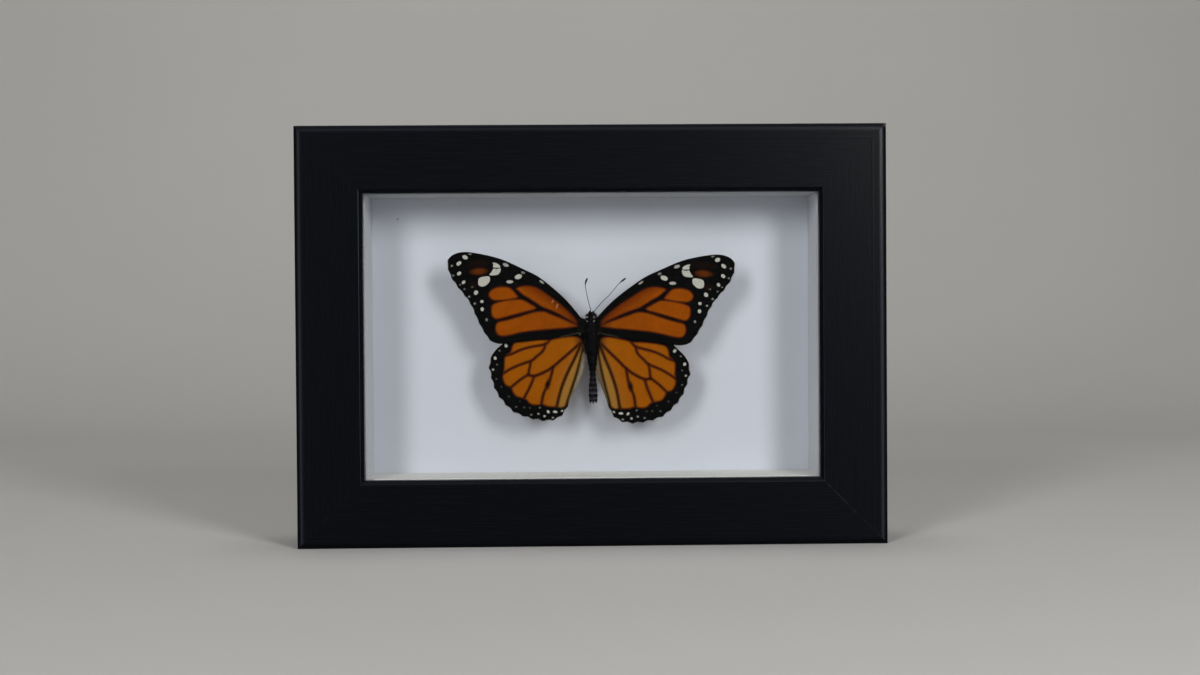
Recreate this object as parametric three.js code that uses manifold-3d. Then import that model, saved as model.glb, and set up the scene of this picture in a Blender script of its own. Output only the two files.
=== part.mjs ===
// Framed butterfly specimen: a mitred black shadow-box frame that stands on its lower rail,
// glazed in front, lined in white inside, with one spread butterfly carried on a short post
// clear of the backing. Millimetres, +Z up, the glazed face towards -Y. The origin is the
// middle of the footprint, on the surface that the frame stands on.
import * as THREE from "three";
import { mergeVertices } from "three/addons/utils/BufferGeometryUtils.js";
import Module from "manifold-3d";

const wasm = await Module();
wasm.setup();

// ---- Driving dimensions -----------------------------------------------------------------
const FRAME_WIDTH = 197;          // outside of the frame, left to right
const FRAME_HEIGHT = 140.5;       // outside of the frame, foot to top
const RAIL_FACE = 22.5;           // width of each rail, seen from the front
const RAIL_DEPTH = 35;            // front face to back face of a rail
const LIP_WIDTH = 5.3;            // part of the face that laps over the glass
const LIP_DEPTH = 4;              // thickness of that lap
const OUTER_ROUND = 2.7;          // width of the rolled outer edge, across the face
const OUTER_DROP = 1.2;           // depth of that roll at the outer side
const INNER_BEVEL = 1.2;          // small bevel along the sight edge
const BACK_ROUND = 0.8;           // eased outer edge at the back
const MITRE_GAP = 0.05;           // each rail end stays this far off the mitre plane
const FIT = 0.2;                  // clearance between stacked layers
const PANEL_PLAY = 0.3;           // clearance of the glass and boards in the rabbet

const GLASS_THICKNESS = 2;
const LINER_THICKNESS = 5;        // foam board strips around the inside
const INTERIOR_DEPTH = 26;        // front face of the frame to the white backing
const MOUNT_BOARD_THICKNESS = 1.6;
const BACK_BOARD_THICKNESS = 3;

const POINT_WIDTH = 7;            // glazier's points that hold the back in
const POINT_LENGTH = 14;
const POINT_THICKNESS = 0.6;
const POINT_BITE = 4;             // length driven into the rail
const POINT_SPACING = 90;         // between the two on a long rail

const HANGER_LENGTH = 45;         // sawtooth hanger on the upper rail
const HANGER_HEIGHT = 8;
const HANGER_THICKNESS = 0.7;
const HANGER_RISE = 1.2;          // the toothed middle stands off by this much
const HANGER_TOOTH = 2;
const HANGER_FLAT = 9;            // flat ear at each end, with a nail through it
const HANGER_BELOW_TOP = 8.5;     // hanger's middle line below the top of the frame
const NAIL_LENGTH = 9;
const NAIL_RADIUS = 0.6;
const NAIL_HEAD_RADIUS = 1.7;
const NAIL_HEAD_THICKNESS = 0.5;
const NAIL_HEAD_DOME = 0.6;       // flat part of the head and its rim, as shares of the full size
const NAIL_POINT = 1.5;           // length of the nail's taper

const WINGSPREAD_DEPTH = 12.6;    // forewings behind the frame's front face
const HINDWING_DROP = 0.9;        // hindwings lie this far behind the forewings
const WING_THICKNESS = 0.3;
const BODY_DEPTH = 13.4;          // body axis behind the frame's front face
const BODY_HALF_WIDTH = 2.6;      // at the thorax
const BODY_FLATTEN = 0.92;        // body depth over body width
const BODY_LEAN = 1.2;            // degrees that the tail swings to the right
const POST_RADIUS = 1.8;
const THORAX = { x: -0.1, z: 1.6 };  // centre of the thorax from the frame's centre
const ANTENNA_RADIUS = 0.18;
const CLUB_RADIUS = 0.42;
const CLUB_LENGTH = 2.6;
const CLUB_SEAT = 0.35;           // share of the club's length by which it is set back
const CUT_ROOM = 0.15;            // a slot or nail hole is this much larger than what fills it

// ---- Derived places, all from the centre of the frame's front face ------------------------
const SIGHT_WIDTH = FRAME_WIDTH - 2 * RAIL_FACE;
const SIGHT_HEIGHT = FRAME_HEIGHT - 2 * RAIL_FACE;
const RABBET_WIDTH = SIGHT_WIDTH + 2 * LIP_WIDTH;
const RABBET_HEIGHT = SIGHT_HEIGHT + 2 * LIP_WIDTH;
const GLASS_FRONT = LIP_DEPTH + FIT;
const LINER_FRONT = GLASS_FRONT + GLASS_THICKNESS + FIT;
const BACK_BOARD_FRONT = INTERIOR_DEPTH + MOUNT_BOARD_THICKNESS + FIT;
const POINT_FRONT = BACK_BOARD_FRONT + BACK_BOARD_THICKNESS + FIT;
const TOTAL_DEPTH = RAIL_DEPTH + FIT + HANGER_THICKNESS + HANGER_RISE;

// ---- Materials ------------------------------------------------------------------------------
function finish(color, roughness, metalness = 0) {
  return new THREE.MeshStandardMaterial({ color, roughness, metalness });
}
const blackLacquer = finish(0x111214, 0.45);
const clearGlass = finish(0xe8f0f0, 0.05);
const whiteFoamBoard = finish(0xf2f3f4, 0.8);
const whiteCard = finish(0xf4f5f7, 0.85);
const hardboard = finish(0x7a5a3c, 0.8);
const zincSteel = finish(0xb8bcc0, 0.4, 1);
const whiteFoam = finish(0xeeeeec, 0.9);
const blackHair = finish(0x17161a, 0.9);
const forewingScales = finish(0xb9540c, 0.7);
const hindwingScales = finish(0xd07612, 0.7);

// ---- Small helpers ----------------------------------------------------------------------------
function named(name, geometry, material) {
  const mesh = new THREE.Mesh(geometry, material);
  mesh.name = name;
  return mesh;
}

// A box from its width (x), its depth range (y) and its height (z), centred on x and z.
function slab(width, front, thickness, height) {
  const geometry = new THREE.BoxGeometry(width, thickness, height);
  return geometry.translate(0, front + thickness / 2, 0);
}

function toSolid(geometry) {
  const bare = geometry.clone();
  bare.deleteAttribute("normal");
  bare.deleteAttribute("uv");
  const merged = mergeVertices(bare, 1e-5);
  return new wasm.Manifold(new wasm.Mesh({
    numProp: 3,
    vertProperties: new Float32Array(merged.attributes.position.array),
    triVerts: new Uint32Array(merged.index.array),
  }));
}

function toGeometry(solid) {
  const mesh = solid.getMesh();
  const geometry = new THREE.BufferGeometry();
  geometry.setAttribute("position", new THREE.BufferAttribute(mesh.vertProperties, 3));
  geometry.setIndex(new THREE.BufferAttribute(mesh.triVerts, 1));
  geometry.computeVertexNormals();
  return geometry;
}

// ---- Rails: an L section with mitred ends -------------------------------------------------------
// The section runs inward from the outer edge (x) and back from the front face (y).
function railSection() {
  const section = new THREE.Shape();
  section.moveTo(OUTER_ROUND, 0);
  section.lineTo(RAIL_FACE - INNER_BEVEL, 0);
  section.lineTo(RAIL_FACE, INNER_BEVEL);
  section.lineTo(RAIL_FACE, LIP_DEPTH);
  section.lineTo(RAIL_FACE - LIP_WIDTH, LIP_DEPTH);
  section.lineTo(RAIL_FACE - LIP_WIDTH, RAIL_DEPTH);
  section.lineTo(BACK_ROUND, RAIL_DEPTH);
  section.absarc(BACK_ROUND, RAIL_DEPTH - BACK_ROUND, BACK_ROUND, Math.PI / 2, Math.PI, false);
  section.absellipse(OUTER_ROUND, OUTER_DROP, OUTER_ROUND, OUTER_DROP, Math.PI, 1.5 * Math.PI);
  return section;
}

// A rail lies along X above the frame's centre, its outer edge at z = reach.
function railGeometry(length, reach, cutters) {
  const geometry = new THREE.ExtrudeGeometry(railSection(), {
    depth: 1, bevelEnabled: false, curveSegments: 8,
  });
  const position = geometry.attributes.position;
  for (let i = 0; i < position.count; i += 1) {
    const inward = position.getX(i);
    const end = position.getZ(i) > 0.5 ? 1 : -1;
    const halfHere = length / 2 - inward - MITRE_GAP;
    position.setXYZ(i, end * halfHere, position.getY(i), reach - inward);
  }
  let solid = toSolid(geometry);
  for (const cutter of cutters) solid = solid.subtract(toSolid(cutter));
  return toGeometry(solid);
}

// ---- Glazier's points: thin steel blades driven into the rabbet, over the back board ------------
function pointBlade(room) {
  const half = POINT_WIDTH / 2 + room;
  const shoulder = POINT_LENGTH - POINT_WIDTH / 2;
  const blade = new THREE.Shape();
  blade.moveTo(-half, room);
  blade.lineTo(-half, -shoulder);
  blade.lineTo(0, -POINT_LENGTH);
  blade.lineTo(half, -shoulder);
  blade.lineTo(half, room);
  const geometry = new THREE.ExtrudeGeometry(blade, {
    depth: POINT_THICKNESS + 2 * room, bevelEnabled: false,
  });
  return geometry.rotateX(Math.PI / 2).translate(0, POINT_THICKNESS + room, 0);
}

// ---- Sawtooth hanger and its nails --------------------------------------------------------------
// A steel strip bent so that its middle stands off the rail. Seen from above, the strip is this
// outline; its lower edge is then cut to teeth and its flat ears are drilled for the nails.
function hangerStrip() {
  const half = HANGER_LENGTH / 2;
  const foot = half - HANGER_FLAT;
  const bend = foot - HANGER_RISE;
  const strip = new THREE.Shape();
  strip.moveTo(-half, 0);
  strip.lineTo(-foot, 0);
  strip.lineTo(-bend, HANGER_RISE);
  strip.lineTo(bend, HANGER_RISE);
  strip.lineTo(foot, 0);
  strip.lineTo(half, 0);
  strip.lineTo(half, HANGER_THICKNESS);
  strip.lineTo(foot, HANGER_THICKNESS);
  strip.lineTo(bend, HANGER_THICKNESS + HANGER_RISE);
  strip.lineTo(-bend, HANGER_THICKNESS + HANGER_RISE);
  strip.lineTo(-foot, HANGER_THICKNESS);
  strip.lineTo(-half, HANGER_THICKNESS);
  const geometry = new THREE.ExtrudeGeometry(strip, {
    depth: HANGER_HEIGHT, bevelEnabled: false,
  });
  return geometry.translate(0, 0, -HANGER_HEIGHT / 2);
}

function hangerTeeth() {
  const half = HANGER_LENGTH / 2 - HANGER_FLAT - HANGER_TOOTH;
  const below = -HANGER_HEIGHT / 2 - HANGER_TOOTH;
  const root = -HANGER_HEIGHT / 2 + HANGER_TOOTH;
  const cut = new THREE.Shape();
  cut.moveTo(-half, below);
  cut.lineTo(half, below);
  for (let x = half; x > -half; x -= HANGER_TOOTH) {
    cut.lineTo(x, root - HANGER_TOOTH / 2);
    cut.lineTo(x - HANGER_TOOTH / 2, root);
  }
  cut.lineTo(-half, root - HANGER_TOOTH / 2);
  const geometry = new THREE.ExtrudeGeometry(cut, {
    depth: 4 * HANGER_RISE, bevelEnabled: false,
  });
  return geometry.rotateX(Math.PI / 2).translate(0, 3 * HANGER_RISE, 0);
}

function hangerGeometry(nailPlaces) {
  let solid = toSolid(hangerStrip()).subtract(toSolid(hangerTeeth()));
  for (const x of nailPlaces) solid = solid.subtract(toSolid(nailHole().translate(x, 0, 0)));
  return toGeometry(solid);
}

// The nail's axis runs along Y; its head's underside is at y = 0 and its point towards -Y.
function nailGeometry() {
  const profile = [
    [0, -NAIL_LENGTH], [NAIL_RADIUS, NAIL_POINT - NAIL_LENGTH], [NAIL_RADIUS, 0],
    [NAIL_HEAD_RADIUS, 0], [NAIL_HEAD_RADIUS, NAIL_HEAD_THICKNESS * NAIL_HEAD_DOME],
    [NAIL_HEAD_RADIUS * NAIL_HEAD_DOME, NAIL_HEAD_THICKNESS], [0, NAIL_HEAD_THICKNESS],
  ];
  return new THREE.LatheGeometry(profile.map(([r, y]) => new THREE.Vector2(r, y)), 12);
}

function nailHole() {
  const radius = NAIL_RADIUS + CUT_ROOM;
  const length = 2 * NAIL_LENGTH;
  return new THREE.CylinderGeometry(radius, radius, length, 12);
}

// ---- Butterfly ------------------------------------------------------------------------------------
// Wing outlines are drawn for the left side: the first number runs outward from the wing's root,
// the second upward, in millimetres, in order around the edge from the root's front.
const FOREWING_ROOT = { left: 2.7, right: 2.4, up: 2.8 };
const FOREWING_EDGE = [
  [0.2, 1.6], [6, 8.2], [14.5, 15], [20.4, 18.1], [27.7, 21.4], [34.2, 23.1], [40, 23.9],
  [43.8, 23.2], [45.9, 21.4], [46.2, 19.2], [45.3, 16.1], [43.5, 13], [39, 7.2], [37, 3.1],
  [35.3, -0.7], [33.5, -3.8], [31.6, -6.2], [28.4, -7.3], [23.6, -6.9], [15.7, -6], [7.9, -5],
  [2.7, -3.8], [0.4, -2.4],
];
const HINDWING_ROOT = { left: 2.7, right: 2.25, up: -3.4 };
const HINDWING_EDGE = [
  [0.5, 3.6], [6.2, 4.1], [14.7, 4.6], [22.2, 3.1], [27, -0.7], [29.8, -3.1], [31.6, -5.8],
  [32.3, -8.9], [31.6, -12.3], [30.7, -15.6], [28.8, -19.3], [24.5, -24], [20.4, -26],
  [16.8, -27], [12.7, -27.5], [9.2, -26.9], [6.8, -25.2], [5.3, -22.6], [3.9, -19.2],
  [2.4, -15.7], [1.1, -12], [0.6, -8.2], [0.5, -4.8], [0.5, -1.4],
];
// How far each wing was raised by the setter, in degrees, from the outline above.
const FOREWING_TURN = { left: 0.4, right: -1.6 };
const HINDWING_TURN = { left: 0.4, right: -4.5 };

function wingGeometry(edge, side) {
  const points = edge.map(([out, up]) => new THREE.Vector2(side * out, up));
  const outline = new THREE.Shape().moveTo(points[0].x, points[0].y);
  outline.splineThru(points.slice(1));
  const geometry = new THREE.ExtrudeGeometry(outline, {
    depth: WING_THICKNESS, bevelEnabled: false, curveSegments: 3,
  });
  return geometry.rotateX(Math.PI / 2).translate(0, WING_THICKNESS / 2, 0);
}

function wing(kind, edge, root, turn, depth, material, sideName, side) {
  const mesh = named(`${kind}_${sideName}`, wingGeometry(edge, side), material);
  mesh.position.set(THORAX.x + side * root[sideName], depth, THORAX.z + root.up);
  mesh.rotation.y = -side * THREE.MathUtils.degToRad(turn[sideName]);
  return mesh;
}

// Body outline: distance above the thorax centre, then half width, from the head down.
const BODY_OUTLINE = [
  [6.4, 0], [6.1, 0.8], [5.6, 1.3], [4.9, 1.7], [4.2, 1.9], [3.6, 1.85], [2.7, 2.1], [1.4, 2.45],
  [-0.7, BODY_HALF_WIDTH], [-3.4, 2.5], [-5.5, 2.2], [-7.5, 1.85], [-9.6, 1.6], [-11.6, 1.35],
  [-13.7, 1.1], [-15.4, 1.05], [-17.1, 1.25], [-19.2, 1.5], [-21.2, 1.6], [-23.3, 1.55],
  [-24.4, 1.3], [-24.9, 0],
];

function bodyGeometry() {
  const profile = BODY_OUTLINE.map(([up, radius]) => new THREE.Vector2(radius, up)).reverse();
  const geometry = new THREE.LatheGeometry(profile, 20);
  return geometry.rotateX(Math.PI / 2).scale(1, BODY_FLATTEN, 1);
}

// Each antenna is a thin stalk with a club, from the top of the head: [out, up] in millimetres.
const ANTENNA_ROUTE = {
  left: [[0.2, 6.9], [0.9, 9.8], [1.6, 13], [1.95, 15.3], [1.75, 16.6], [1.2, 17.9]],
  right: [[1.1, 6.6], [3.6, 9.5], [6.2, 12], [8.2, 14.4], [9.6, 16], [11.9, 17.8]],
};

function antennaGeometry(route, side) {
  const path = new THREE.CatmullRomCurve3(
    route.map(([out, up]) => new THREE.Vector3(side * out, 0, up)),
  );
  const ring = new THREE.Shape().absarc(0, 0, ANTENNA_RADIUS, 0, 2 * Math.PI, false);
  const stalk = new THREE.ExtrudeGeometry(ring, {
    steps: 20, curveSegments: 4, extrudePath: path, bevelEnabled: false,
  });
  const club = new THREE.SphereGeometry(1, 10, 8);
  club.scale(CLUB_RADIUS, CLUB_RADIUS, CLUB_LENGTH / 2);
  const along = path.getTangent(1);
  const turn = new THREE.Quaternion().setFromUnitVectors(new THREE.Vector3(0, 0, 1), along);
  const middle = path.getPoint(1).addScaledVector(along, -CLUB_LENGTH * CLUB_SEAT);
  club.applyQuaternion(turn).translate(middle.x, middle.y, middle.z);
  return toGeometry(toSolid(stalk).add(toSolid(club)));
}

function butterfly() {
  const group = new THREE.Group();
  const hindDepth = WINGSPREAD_DEPTH + HINDWING_DROP;
  for (const [sideName, side] of [["left", -1], ["right", 1]]) {
    group.add(wing("forewing", FOREWING_EDGE, FOREWING_ROOT, FOREWING_TURN, WINGSPREAD_DEPTH,
      forewingScales, sideName, side));
    group.add(wing("hindwing", HINDWING_EDGE, HINDWING_ROOT, HINDWING_TURN, hindDepth,
      hindwingScales, sideName, side));
    const antenna = named(`antenna_${sideName}`,
      antennaGeometry(ANTENNA_ROUTE[sideName], side), blackHair);
    antenna.position.set(THORAX.x, BODY_DEPTH, THORAX.z);
    group.add(antenna);
  }
  const body = named("butterfly_body", bodyGeometry(), blackHair);
  body.position.set(THORAX.x, BODY_DEPTH, THORAX.z);
  body.rotation.y = -THREE.MathUtils.degToRad(BODY_LEAN);
  group.add(body);

  const postFront = BODY_DEPTH + BODY_HALF_WIDTH * BODY_FLATTEN + FIT;
  const postLength = INTERIOR_DEPTH - FIT - postFront;
  const post = named("mounting_post",
    new THREE.CylinderGeometry(POST_RADIUS, POST_RADIUS, postLength, 16), whiteFoam);
  post.position.set(THORAX.x, postFront + postLength / 2, THORAX.z);
  group.add(post);
  return group;
}

// ---- Frame sides: each rail with the points driven into it ----------------------------------------
function frameSide(name, length, reach, angle, pointPlaces, extraCutters = []) {
  const side = new THREE.Group();
  const rabbetEdge = reach - RAIL_FACE + LIP_WIDTH;
  const pointTip = rabbetEdge + POINT_BITE;
  const slots = pointPlaces.map((x) => {
    const slot = pointBlade(CUT_ROOM).rotateY(Math.PI);
    return slot.translate(x, POINT_FRONT, pointTip - POINT_LENGTH);
  });
  side.add(named(`rail_${name}`, railGeometry(length, reach, [...slots, ...extraCutters]),
    blackLacquer));
  pointPlaces.forEach((x, index) => {
    const label = pointPlaces.length > 1 ? `_${index + 1}` : "";
    const blade = named(`glazing_point_${name}${label}`, pointBlade(0).rotateY(Math.PI), zincSteel);
    blade.position.set(x, POINT_FRONT, pointTip - POINT_LENGTH);
    side.add(blade);
  });
  side.rotation.y = angle;
  return side;
}

// ---- Assembly ---------------------------------------------------------------------------------------
const specimen = new THREE.Group();
specimen.position.set(0, -TOTAL_DEPTH / 2, FRAME_HEIGHT / 2);

const pairOnLongRail = [-POINT_SPACING / 2, POINT_SPACING / 2];
const hangerUp = FRAME_HEIGHT / 2 - HANGER_BELOW_TOP;
const nailPlaces = [-1, 1].map((side) => side * (HANGER_LENGTH - HANGER_FLAT) / 2);
const nailHoles = nailPlaces.map((x) => nailHole().translate(x, RAIL_DEPTH, hangerUp));

specimen.add(frameSide("top", FRAME_WIDTH, FRAME_HEIGHT / 2, 0, pairOnLongRail, nailHoles));
specimen.add(frameSide("bottom", FRAME_WIDTH, FRAME_HEIGHT / 2, Math.PI, pairOnLongRail));
specimen.add(frameSide("right", FRAME_HEIGHT, FRAME_WIDTH / 2, Math.PI / 2, [0]));
specimen.add(frameSide("left", FRAME_HEIGHT, FRAME_WIDTH / 2, -Math.PI / 2, [0]));

const panelWidth = RABBET_WIDTH - 2 * PANEL_PLAY;
const panelHeight = RABBET_HEIGHT - 2 * PANEL_PLAY;
specimen.add(named("glass_pane",
  slab(panelWidth, GLASS_FRONT, GLASS_THICKNESS, panelHeight), clearGlass));
specimen.add(named("mount_board",
  slab(panelWidth, INTERIOR_DEPTH, MOUNT_BOARD_THICKNESS, panelHeight), whiteCard));
specimen.add(named("back_board",
  slab(panelWidth, BACK_BOARD_FRONT, BACK_BOARD_THICKNESS, panelHeight), hardboard));

const linerDepth = INTERIOR_DEPTH - FIT - LINER_FRONT;
for (const [name, side] of [["bottom", -1], ["top", 1]]) {
  const strip = named(`liner_${name}`,
    slab(panelWidth, LINER_FRONT, linerDepth, LINER_THICKNESS), whiteFoamBoard);
  strip.position.z = side * (SIGHT_HEIGHT + LINER_THICKNESS) / 2;
  specimen.add(strip);
}
for (const [name, side] of [["left", -1], ["right", 1]]) {
  const strip = named(`liner_${name}`,
    slab(LINER_THICKNESS, LINER_FRONT, linerDepth, SIGHT_HEIGHT - FIT), whiteFoamBoard);
  strip.position.x = side * (SIGHT_WIDTH + LINER_THICKNESS) / 2;
  specimen.add(strip);
}

const hanger = named("sawtooth_hanger", hangerGeometry(nailPlaces), zincSteel);
hanger.position.set(0, RAIL_DEPTH + FIT, hangerUp);
specimen.add(hanger);
nailPlaces.forEach((x, index) => {
  const nail = named(`hanger_nail_${index + 1}`, nailGeometry(), zincSteel);
  nail.position.set(x, RAIL_DEPTH + 2 * FIT + HANGER_THICKNESS, hangerUp);
  specimen.add(nail);
});

specimen.add(butterfly());

export default specimen;
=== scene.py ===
# A butterfly specimen in a black shadow-box frame: four lacquered rails round a pane, a white
# lined box behind it, and one orange and black butterfly spread on a short post inside.
# The model is in metres; sizes below are in millimetres. It stands on z = 0 and faces -Y.
import math

import bmesh
import bpy
import numpy as np
from mathutils import Matrix, Vector
from mathutils.geometry import delaunay_2d_cdt


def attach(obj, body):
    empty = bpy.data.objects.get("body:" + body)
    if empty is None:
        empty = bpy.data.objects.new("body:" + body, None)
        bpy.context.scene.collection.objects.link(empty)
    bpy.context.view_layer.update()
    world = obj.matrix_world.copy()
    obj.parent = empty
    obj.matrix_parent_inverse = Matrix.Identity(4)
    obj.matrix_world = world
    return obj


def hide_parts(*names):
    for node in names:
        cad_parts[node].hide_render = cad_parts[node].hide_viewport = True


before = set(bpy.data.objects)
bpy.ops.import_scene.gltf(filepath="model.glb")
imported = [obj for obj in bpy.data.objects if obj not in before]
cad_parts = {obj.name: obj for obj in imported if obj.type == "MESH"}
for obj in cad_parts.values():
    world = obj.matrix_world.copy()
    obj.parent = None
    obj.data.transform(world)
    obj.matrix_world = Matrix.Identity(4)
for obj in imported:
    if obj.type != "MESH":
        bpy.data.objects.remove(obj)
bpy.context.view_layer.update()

# ---- Rails -----------------------------------------------------------------------------------
# Four lengths of L-shaped softwood moulding with a rolled outer edge and a fine bevel along the
# sight edge, mitred, glued and pinned at the corners. They are sprayed with satin black lacquer,
# thin enough that the straight grain still shows as faint lines along each length.
MM = 0.001
FRAME_WIDTH, FRAME_HEIGHT = 197, 140.5
FRONT, MIDDLE = -18.55, 70.25          # y of the frame's face, z of the frame's middle
RAIL_FACE, RAIL_DEPTH = 22.5, 35
LIP_WIDTH, LIP_DEPTH = 5.3, 4
ROLL_WIDTH, ROLL_DROP = 2.7, 1.2       # the rolled outer edge, across the face and into the depth
SIGHT_BEVEL, BACK_EASE = 1.2, 0.8
MITRE_EASE = 0.12                      # the mitres are tight and hardly eased
ARRIS = 0.16                           # every cut edge is rubbed down this much before spraying


def linear(code):
    """A shader colour from an sRGB hex value."""
    parts = [int(code[i:i + 2], 16) / 255 for i in (1, 3, 5)]
    return (*[c / 12.92 if c <= 0.04045 else ((c + 0.055) / 1.055) ** 2.4 for c in parts], 1.0)


def add(tree, kind, inputs=None, **settings):
    """Adds a node. An input is given a value, a hex colour, a socket, or a node, which stands for
    the first of its outputs that its settings leave in use."""
    made = tree.nodes.new(kind)
    for name, value in settings.items():
        setattr(made, name, value)
    for key, value in (inputs or {}).items():
        if isinstance(value, str) and value.startswith("#"):
            value = linear(value)
        if isinstance(value, bpy.types.Node):
            value = next(output for output in value.outputs if output.enabled)
        if isinstance(value, bpy.types.NodeSocket):
            tree.links.new(value, made.inputs[key])
        else:
            made.inputs[key].default_value = value
    return made


def new_finish(name):
    """An empty node material and its tree."""
    made = bpy.data.materials.new(name)
    made.use_nodes = True
    made.node_tree.nodes.clear()
    return made, made.node_tree


def show(tree, shader):
    add(tree, "ShaderNodeOutputMaterial", {"Surface": shader})


def closed_mesh(shape, name, finish):
    """A smooth mesh with its finish, from a shape that is then cleared away."""
    mesh = bpy.data.meshes.new(name)
    shape.to_mesh(mesh)
    shape.free()
    mesh.shade_smooth()
    mesh.materials.append(finish)
    return mesh


def set_in(name, mesh, slot, *nodes):
    """Puts a finished mesh in the model: it rides on the one body and stands for these nodes."""
    piece = bpy.data.objects.new(name, mesh)
    bpy.context.scene.collection.objects.link(piece)
    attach(piece, "root")
    if nodes:
        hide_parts(*nodes)
    return piece


# Thin satin lacquer over primed pine: near black, a soft broad sheen, fine raised grain lines
# about 0.5 mm apart and 20 mm long, and pale bare specks where the mitres have been knocked.
lacquer, tree = new_finish("satin_black_lacquer_on_pine")
grain_map = add(tree, "ShaderNodeUVMap", uv_map="grain")
along_grain = add(tree, "ShaderNodeMapping", {"Vector": grain_map, "Scale": (0.05, 1.9, 1)})
grain = add(tree, "ShaderNodeTexNoise",
            {"Vector": along_grain, "Scale": 1, "Detail": 4, "Roughness": 0.62},
            noise_dimensions="2D")
pore_map = add(tree, "ShaderNodeMapping", {"Vector": grain_map, "Scale": (0.16, 5.5, 1)})
pores = add(tree, "ShaderNodeTexNoise",
            {"Vector": pore_map, "Scale": 1, "Detail": 2, "Roughness": 0.5}, noise_dimensions="2D")
here = add(tree, "ShaderNodeTexCoord").outputs["Object"]
orange_peel = add(tree, "ShaderNodeTexNoise",
                  {"Vector": here, "Scale": 900, "Detail": 2, "Roughness": 0.5})
raised = add(tree, "ShaderNodeMath", {0: grain, 1: 0.22}, operation="MULTIPLY")
pored = add(tree, "ShaderNodeMath", {0: pores, 1: 0.1, 2: raised}, operation="MULTIPLY_ADD")
peeled = add(tree, "ShaderNodeMath", {0: orange_peel, 1: 0.3, 2: pored}, operation="MULTIPLY_ADD")
# The cutter left one faint line along each rail, 2 mm in from the roll.
girth_parts = add(tree, "ShaderNodeSeparateXYZ", {0: grain_map})
off_line = add(tree, "ShaderNodeMath", {0: girth_parts.outputs["Y"], 1: 5.2}, operation="SUBTRACT")
from_line = add(tree, "ShaderNodeMath", {0: off_line}, operation="ABSOLUTE")
cutter_line = add(tree, "ShaderNodeMapRange", {0: from_line, 1: 0, 2: 0.5, 3: 0.4, 4: 0},
                  interpolation_type="SMOOTHSTEP")
relief = add(tree, "ShaderNodeMath", {0: peeled, 1: cutter_line}, operation="ADD")
bumps = add(tree, "ShaderNodeBump", {"Strength": 0.45, "Distance": 0.00006, "Height": relief})
colour = add(tree, "ShaderNodeMix", {0: grain, 6: "#090A0D", 7: "#0D0E12"}, data_type="RGBA")
gloss = add(tree, "ShaderNodeMapRange", {0: grain, 1: 0.3, 2: 0.7, 3: 0.267, 4: 0.279})
# Each knock is a bare speck: its place on the frame, its radius and how much wood it shows.
KNOCKS = (((78.9, -18.5, 19.8), 0.7, 0.03), ((87.3, -18.5, 11.0), 0.7, 0.03),
          ((98.0, -17.9, 139.7), 0.8, 0.22), ((-89.1, -18.5, 9.7), 0.5, 0.02))
ragged = add(tree, "ShaderNodeTexNoise",
             {"Vector": here, "Scale": 2500, "Detail": 3, "Roughness": 0.6})
for place, radius, bareness in KNOCKS:
    away = add(tree, "ShaderNodeVectorMath",
               {0: here, 1: [c * MM for c in place]}, operation="DISTANCE")
    torn = add(tree, "ShaderNodeMath", {0: ragged, 1: -radius * MM, 2: away},
               operation="MULTIPLY_ADD")
    bare = add(tree, "ShaderNodeMapRange",
               {0: torn, 1: -0.3 * radius * MM, 2: 0.5 * radius * MM, 3: bareness, 4: 0})
    colour = add(tree, "ShaderNodeMix", {0: bare, 6: colour, 7: "#9C8F74"}, data_type="RGBA")
# A fine grey line is painted along the two lower mitres, broken in patches: a painted highlight,
# standing for the raised lacquer ridge there catching the light.
axes = add(tree, "ShaderNodeSeparateXYZ", {0: here})
sideways = add(tree, "ShaderNodeMath", {0: axes.outputs["X"]}, operation="ABSOLUTE")
risen = add(tree, "ShaderNodeMath", {0: sideways, 1: axes.outputs["Z"]}, operation="ADD")
missed = add(tree, "ShaderNodeMath", {0: risen, 1: FRAME_WIDTH / 2 * MM}, operation="SUBTRACT")
astray = add(tree, "ShaderNodeMath", {0: missed}, operation="ABSOLUTE")
ragged_mitre_distance = add(tree, "ShaderNodeMath", {0: ragged, 1: -0.5 * MM, 2: astray},
              operation="MULTIPLY_ADD")
patches = add(tree, "ShaderNodeTexNoise",
              {"Vector": here, "Scale": 240, "Detail": 2, "Roughness": 0.5})
broken_along_mitre = add(tree, "ShaderNodeMapRange", {0: patches, 1: 0.42, 2: 0.6, 3: 0.2, 4: 1})
# The painted highlight is stronger on the right mitre than on the left.
by_side = add(tree, "ShaderNodeMapRange",
              {0: axes.outputs["X"], 1: -0.08, 2: 0.08, 3: 0.01, 4: 0.022})
mitre_highlight_strength = add(tree, "ShaderNodeMath", {0: broken_along_mitre, 1: by_side}, operation="MULTIPLY")
seam = add(tree, "ShaderNodeMapRange", {0: ragged_mitre_distance, 1: -0.1 * MM, 2: 0.15 * MM, 3: mitre_highlight_strength, 4: 0})
mitre_highlighted = add(tree, "ShaderNodeMix", {0: seam, 6: colour, 7: "#8B8C90"}, data_type="RGBA")
show(tree, add(tree, "ShaderNodeBsdfPrincipled",
               {"Base Color": mitre_highlighted, "Roughness": gloss,
                "Specular IOR Level": 0.13, "Normal": bumps}))


def rail_section():
    """The moulding's outline: distance inward from the outer edge, then depth from the face."""
    roll = [(ROLL_WIDTH * (1 - math.sin(a)), ROLL_DROP * (1 - math.cos(a)))
            for a in np.linspace(math.pi / 2, 0, 14)]
    rabbet = RAIL_FACE - LIP_WIDTH
    front = [(RAIL_FACE - SIGHT_BEVEL, 0), (RAIL_FACE, SIGHT_BEVEL), (RAIL_FACE, LIP_DEPTH),
             (rabbet, LIP_DEPTH), (rabbet, RAIL_DEPTH)]
    back = [(BACK_EASE * (1 - math.cos(a)), RAIL_DEPTH - BACK_EASE * (1 - math.sin(a)))
            for a in np.linspace(math.pi / 2, 0, 5)]
    return roll + front + back


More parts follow.
